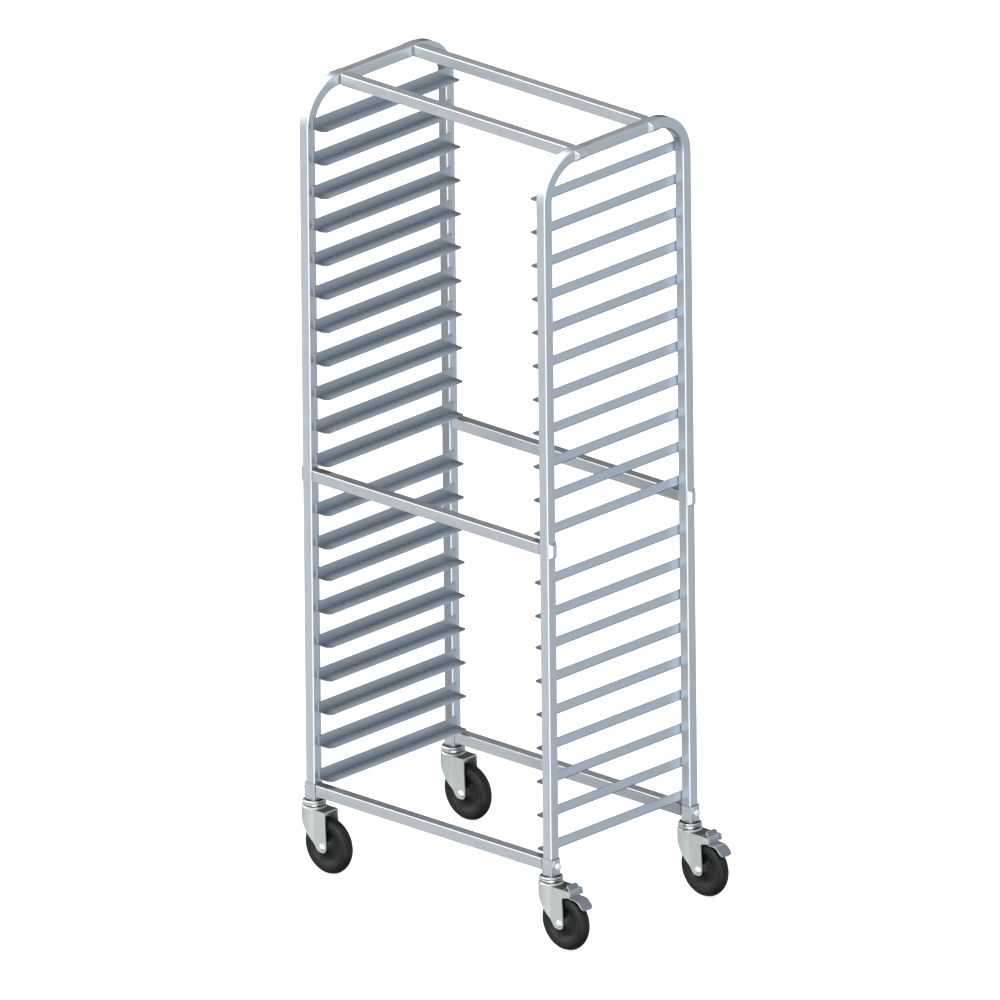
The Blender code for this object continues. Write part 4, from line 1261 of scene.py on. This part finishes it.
# ------------------------------------------------------------ caster wheels
def spline(points, per):
    """Catmull-Rom through 2D points, with so many steps per span."""
    curve = []
    for i in range(len(points) - 1):
        before = Vector(points[max(i - 1, 0)])
        start, end = Vector(points[i]), Vector(points[i + 1])
        after = Vector(points[min(i + 2, len(points) - 1)])
        for k in range(per):
            t = k / per
            curve.append(tuple(0.5 * (
                (2 * start) + (end - before) * t
                + (2 * before - 5 * start + 4 * end - after) * t * t
                + (3 * start - before - 3 * end + after) * t ** 3)))
    curve.append(tuple(points[-1]))
    return curve


def wheel_lathe(side, middle=()):
    """A wheel part turned about Y from the (radius, y) points of its +Y half."""
    profile = side + list(middle) + [(radius, -y) for radius, y in reversed(side)]
    return lathe([(radius, -y) for radius, y in profile], 96, "Y", closed_profile=True)


def tyre_shape():
    wall = [(0.0352, 0.0098), (0.0368, 0.0106), (0.0385, 0.0121), (0.0412, 0.0138),
            (0.0450, 0.0149), (0.0488, 0.0153), (0.0525, 0.0149), (0.0560, 0.0135),
            (0.0590, 0.0110), (0.0611, 0.0080), (0.0625, 0.0045)]
    crown = [(0.0632, 0.0019), (0.06335, 0.0007)]
    return wheel_lathe([(0.0345, 0.0060)] + spline(wall, 3) + crown, middle=[(0.0635, 0.0)])


def hub_shape():
    boss_face = [(0.0056, 0.0174), (0.0104, 0.0174)]
    boss = [(0.0110, 0.0171), (0.0117, 0.0163), (0.0128, 0.0146), (0.0140, 0.0130),
            (0.0156, 0.0117), (0.0172, 0.0110), (0.0190, 0.0105)]
    web = [(0.0194, 0.0103), (0.0220, 0.0092), (0.0255, 0.0083), (0.0290, 0.0077),
           (0.0315, 0.0076), (0.0328, 0.0079)]
    rim = [(0.0335, 0.0087), (0.0342, 0.0094), (0.0349, 0.0096), (0.0353, 0.0092)]
    return wheel_lathe(boss_face + spline(boss, 3) + spline(web, 3) + rim)


def bearing_shape():
    """A thin cap on each face of the hub's boss."""
    ring = [(0.0054, 0.0170), (0.0054, 0.01752), (0.0088, 0.01752), (0.0091, 0.0173),
            (0.0091, 0.0170)]
    shape = lathe([(radius, -y) for radius, y in ring], 40, "Y", closed_profile=True)
    return shape.join(lathe(ring[::-1], 40, "Y", closed_profile=True))


tyre_mesh = settled_twice_turned(tyre_shape(), "tyre")
hub_mesh = together("hub", (settled_twice_turned(hub_shape(), "hub"), HUB_PLASTIC),
                    (settled_twice_turned(bearing_shape(), "bearing_cap"), PIN_STEEL))


# ------------------------------------------------------------ brakes
PIN_X, PIN_Z = 0.0648, 0.1335
SHEET = 0.0020                  # thickness of the pedal's sheet


def rounded_path(points, radius):
    """A polyline with its inner corners rounded."""
    steps = 5
    path = [Vector(points[0])]
    for i in range(1, len(points) - 1):
        here = Vector(points[i])
        back, ahead = Vector(points[i - 1]) - here, Vector(points[i + 1]) - here
        cut = min(radius, back.length * 0.45, ahead.length * 0.45)
        first, last = here + back.normalized() * cut, here + ahead.normalized() * cut
        for k in range(steps + 1):
            t = k / steps
            path.append(first * (1 - t) ** 2 + here * 2 * t * (1 - t) + last * t * t)
    path.append(Vector(points[-1]))
    return path


def subdivided(start, end, longest):
    """Points from start to end, no two further apart than longest."""
    count = max(1, int(math.ceil((end - start).length / longest)))
    return [start.lerp(end, k / count) for k in range(count + 1)]


def sheet_shape(path, half_width, corner, round_start, light_bands):
    """A sheet along (x, z) points, both corners rounded at its start or at its end.

    The bands are (limit, value): each value holds up to that length along the sheet, painting the
    facets as painted light and shade; both side edges get a painted highlight."""
    across = 10
    along = lengths(path, closed=False)
    rings = []
    for point, distance in zip(path, along):
        run = distance if round_start else along[-1] - distance
        half = half_width
        if run < corner:
            half += math.sqrt(max(0.0, corner ** 2 - (corner - run) ** 2)) - corner
        rings.append([(point.x, half * (-1 + 2 * k / across), point.y)
                      for k in range(across + 1)])
    shape = Shape()
    made = shape.skin(rings, [0.034 * k / across for k in range(across + 1)], along, closed=False)
    for ring, distance in zip(made, along):
        amount = next(wear_and_shade for limit, wear_and_shade in light_bands if distance < limit)
        for k, i in enumerate(ring):
            shape.wear_and_shade[i] = 1.0 if k in (0, across) else amount
    return shape


def tab_shape():
    """The upright tab, its upper part leaning back towards the stem above a crease."""
    path = rounded_path([(0.0598, 0.1533), (0.0688, 0.1404), (0.0692, 0.1330),
                         (0.0696, 0.1254)], 0.0012)
    crease = (path[1] - path[0]).length
    # painted light: a bright top edge, the upper facet shaded, a bright crease and a lighter lower
    # part
    light_bands = ((0.0006, 0.9), (crease - 0.001, -0.42), (crease + 0.0016, 0.9), (math.inf, 0.30))
    return sheet_shape(subdivided(*path[:2], 0.0008) + path[2:], half_width=0.0165,
                       corner=0.0062, round_start=True, light_bands=light_bands)


def blade_shape():
    """The blade that reaches out to +X and slopes down to its end."""
    path = rounded_path([(0.0676, 0.1262), (0.0700, 0.1250), (0.0780, 0.1255),
                         (0.0860, 0.1250), (0.0920, 0.1224), (0.0975, 0.1180),
                         (0.1082, 0.1055)], 0.0014)
    path = path[:-2] + subdivided(*path[-2:], 0.0009)
    tip = lengths(path, closed=False)[-1] - 0.0006
    # painted light: the level part lit, a bright fold, the sloping part shaded and a bright tip
    light_bands = ((0.0195, 0.75), (0.0235, 0.95), (tip, -0.30), (math.inf, 0.9))
    return sheet_shape(path, half_width=0.0170, corner=0.0085, round_start=False, light_bands=light_bands)


def barrel_shape():
    """The tube that turns on the brake's pin."""
    profile = [(0.0028, -0.0172), (0.0042, -0.0172), (0.0046, -0.0169), (0.0047, -0.0165),
               (0.0047, 0.0165), (0.0046, 0.0169), (0.0042, 0.0172), (0.0028, 0.0172)]
    barrel = lathe(profile, 32, "Y", closed_profile=True)
    return Shape().join(barrel, Matrix.Translation((PIN_X, 0, PIN_Z)))


def brake_mesh():
    """Tab, blade and barrel in one mesh."""
    meshes = []
    for shape, point, direction in ((tab_shape(), (0.069, 0.0, 0.138), (1, 0, 0.2)),
                                    (blade_shape(), (0.080, 0.0, 0.1255), (0, 0, 1))):
        mesh = facing(shape.mesh("sheet"), point, direction)
        meshes.append(settled(mesh, solid=SHEET, bevel=0.0005, angle=50))
    meshes.append(settled_twice_turned(barrel_shape(), "barrel"))
    work = bmesh.new()
    for mesh in meshes:
        work.from_mesh(mesh)
    made = bpy.data.meshes.new("brake_pedal")
    work.to_mesh(made)
    work.free()
    shade_smooth(made, 48)
    return made


def pin_shape():
    profile = [(0.0020, 0.02185), (0.0032, 0.0217), (0.0034, 0.02145), (0.0024, 0.0213)]
    profile += [(radius, -y) for radius, y in reversed(profile)]
    return lathe(profile, 28, "Y")


def lug_shape():
    """A raised rim round a dark disc, inside each of the fork's two arm ends: the disc and the rim's
    inside are painted shade, the rim's top a painted highlight.
    """
    rim = [(0.0032, 0.0, -0.6), (0.0031, 0.0008, 0.4), (0.0027, 0.0011, 0.6),
           (0.0022, 0.0010, 0.4), (0.0018, 0.0006, -1.0), (0.0016, 0.0, -1.0)]
    shade_disc = [(0.00185, -0.0002, -1.0), (0.00185, 0.0003, -1.0)]
    shape = Shape()
    for sign in (-1, 1):
        place = Matrix.Translation((0.0702, sign * (FORK_HALF - FORK_WALL), 0.1368))
        place = place @ Matrix.Rotation(math.radians(90 * sign), 4, "X")
        for profile in (rim, shade_disc):
            shape.join(lathe(profile, 28), place)
    return shape


brake_sheet_mesh = brake_mesh()
lug_mesh = settled_twice_turned(lug_shape(), "arm_lug")
pin_mesh = settled_twice_turned(pin_shape(), "brake_pin")


def place_caster(place, braked):
    low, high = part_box(f"caster_wheel_{place}")
    wheel_at = (low + high) / 2
    stem = wheel_at - Vector((WHEEL_X, 0, WHEEL_Z))
    caster, wheel = f"caster_{place}", f"wheel_{place}"
    piece(f"fork_shell_{place}", fork_meshes[braked], FORK_ZINC, caster, stem,
          stands_for=f"caster_fork_{place}")
    piece(f"fork_head_{place}", head_mesh, FORK_ZINC, caster, stem)
    piece(f"axle_{place}", axle_mesh, PIN_STEEL, caster, wheel_at)
    piece(f"tyre_{place}", tyre_mesh, TYRE_RUBBER, wheel, wheel_at,
          stands_for=f"caster_wheel_{place}")
    piece(f"hub_{place}", hub_mesh, HUB_PLASTIC, wheel, wheel_at)
    if braked:
        piece(f"brake_sheet_{place}", brake_sheet_mesh, BRAKE_ZINC, f"brake_{place}",
              stem, stands_for=f"brake_pedal_{place}")
        piece(f"arm_lugs_{place}", lug_mesh, FORK_ZINC, caster, stem)
        piece(f"brake_rivet_{place}", pin_mesh, PIN_STEEL, caster,
              stem + Vector((PIN_X, 0, PIN_Z)), stands_for=f"brake_pin_{place}")


for side, _ in SIDES:
    for end, _ in ENDS:
        place_caster(f"{end}_{side}", braked=side == "right")


# ------------------------------------------------------------ floor, light, camera
def stage_floor():
    """A pale floor that only the camera sees, and that is clear from below."""
    work = bmesh.new()
    bmesh.ops.create_grid(work, x_segments=2, y_segments=2, size=40.0)
    mesh = bpy.data.meshes.new("floor")
    work.to_mesh(mesh)
    work.free()
    floor = bpy.data.objects.new("floor", mesh)
    scene.collection.objects.link(floor)
    material, net, shader = new_material("pale_floor")
    net.fill(shader, {
        "Base Color": (0.80, 0.80, 0.80, 1), "Roughness": 1.0, "Specular IOR Level": 0.0,
        "Emission Color": (1, 1, 1, 1), "Emission Strength": 0.62})
    clear = net.node("ShaderNodeBsdfTransparent")
    mixed = net.node("ShaderNodeMixShader")
    net.put(mixed.inputs[0], net.node("ShaderNodeNewGeometry").outputs["Backfacing"])
    net.put(mixed.inputs[1], shader.outputs[0])
    net.put(mixed.inputs[2], clear.outputs[0])
    net.put(net.tree.nodes["Material Output"].inputs["Surface"], mixed.outputs[0])
    mesh.materials.append(material)
    floor.visible_glossy = False
    floor.visible_diffuse = False
    floor.visible_transmission = False
    floor.visible_shadow = False


# the shell's brightness in red, green and blue: (level, slope in x, slope in y, slope in z)
SHELL = ((0.723, 0.091, -0.228, 0.0), (0.761, 0.142, -0.250, 0.0), (0.791, 0.161, -0.247, 0.0))


def studio():
    """A pale studio: an even shell of light, a long canopy on the left and three soft panels."""
    world = bpy.data.worlds.new("studio")
    scene.world = world
    world.use_nodes = True
    net = Net(world.node_tree)
    background = world.node_tree.nodes["Background"]
    way = net.vector("NORMALIZE", net.node("ShaderNodeTexCoord").outputs["Generated"])
    x, y, z = net.split(way)

    def product(first, *others):
        for other in others:
            first = net.times(first, other)
        return first

    def dimmed(light, mask, by):
        """The light lowered by a part where the mask is 1."""
        return net.times(light, net.maths("SUBTRACT", 1.0, net.times(mask, by)))

    def panel(aim, edge, core, strength):
        """A soft round light, full inside core degrees of its aim and none beyond edge."""
        toward = net.vector("DOT_PRODUCT", way, tuple(Vector(aim).normalized()))
        return net.spread(toward, start=math.cos(math.radians(edge)),
                          end=math.cos(math.radians(core)), to_end=strength)

    channels = []
    for level, *slopes in SHELL:
        for axis, slope in zip((x, y, z), slopes):
            level = net.add(level, axis, slope)
        channels.append(level)
    shell = net.combined(channels)

    left = net.spread(x, start=-0.22, end=-0.48)
    round_x = net.maths("ARCTAN2", z, net.times(y, -1.0))       # 0 at the front, rising overhead
    over = net.times(net.spread(round_x, start=math.radians(-2), end=math.radians(16)),
                     net.spread(round_x, start=math.radians(140), end=math.radians(127)))
    canopy = product(left, over, 1.7)

    # the shell is dimmed low at the back left, towards the floor and at the back left
    low_back = net.times(net.spread(z, start=0.38, end=0.08), net.spread(y, start=0.50, end=0.66))
    dim = net.maths("SUBTRACT", 1.0, product(low_back, left, 0.86))
    dim = net.times(dim, net.spread(z, start=-0.42, end=-0.74, to_start=1.0, to_end=0.22))
    back_left = net.times(net.spread(y, start=0.22, end=0.52), left)
    dim = dimmed(dim, back_left, by=0.68)
    shell = net.vector("SCALE", shell, scale=dim)

    front_right = panel((0.70, -0.66, -0.22), edge=30, core=16, strength=1.35)
    above_right = panel((0.50, -0.30, 0.81), edge=34, core=14, strength=1.3)
    key = panel((0.14, -0.89, 0.43), edge=25, core=9, strength=4.5)
    glow = net.plus(net.plus(canopy, front_right), net.plus(above_right, key))
    total = net.vector("ADD", shell, net.combined([glow] * 3))

    shown = net.node("ShaderNodeMix", data_type="VECTOR")       # the camera itself sees white
    net.put(shown.inputs[0], net.node("ShaderNodeLightPath").outputs["Is Camera Ray"])
    net.put(shown.inputs[4], total)
    net.put(shown.inputs[5], (1.0, 1.0, 1.0))
    net.put(background.inputs["Color"], shown.outputs[1])
    background.inputs["Strength"].default_value = 1.0


def place_camera():
    """A level-headed view from the front right, a little above."""
    camera = bpy.data.cameras.new("camera")
    camera.type = "ORTHO"
    camera.ortho_scale = 2.1275
    camera.clip_end = 60.0
    eye = bpy.data.objects.new("camera", camera)
    # the camera's own axes
    right = Vector((0.72952, 0.68389, -0.009913))
    up = Vector((-0.235343, 0.264598, 0.935203))
    back = Vector((0.642199, -0.679916, 0.353978))
    at = Vector((MID_X, 0, 0)) + right * -0.006127 + up * 0.80696 + back * 6.0
    axes = Matrix((right, up, back)).transposed().to_4x4()
    eye.matrix_world = Matrix.Translation(at) @ axes
    scene.collection.objects.link(eye)
    scene.camera = eye


stage_floor()
studio()
place_camera()
scene.view_settings.view_transform = "Standard"
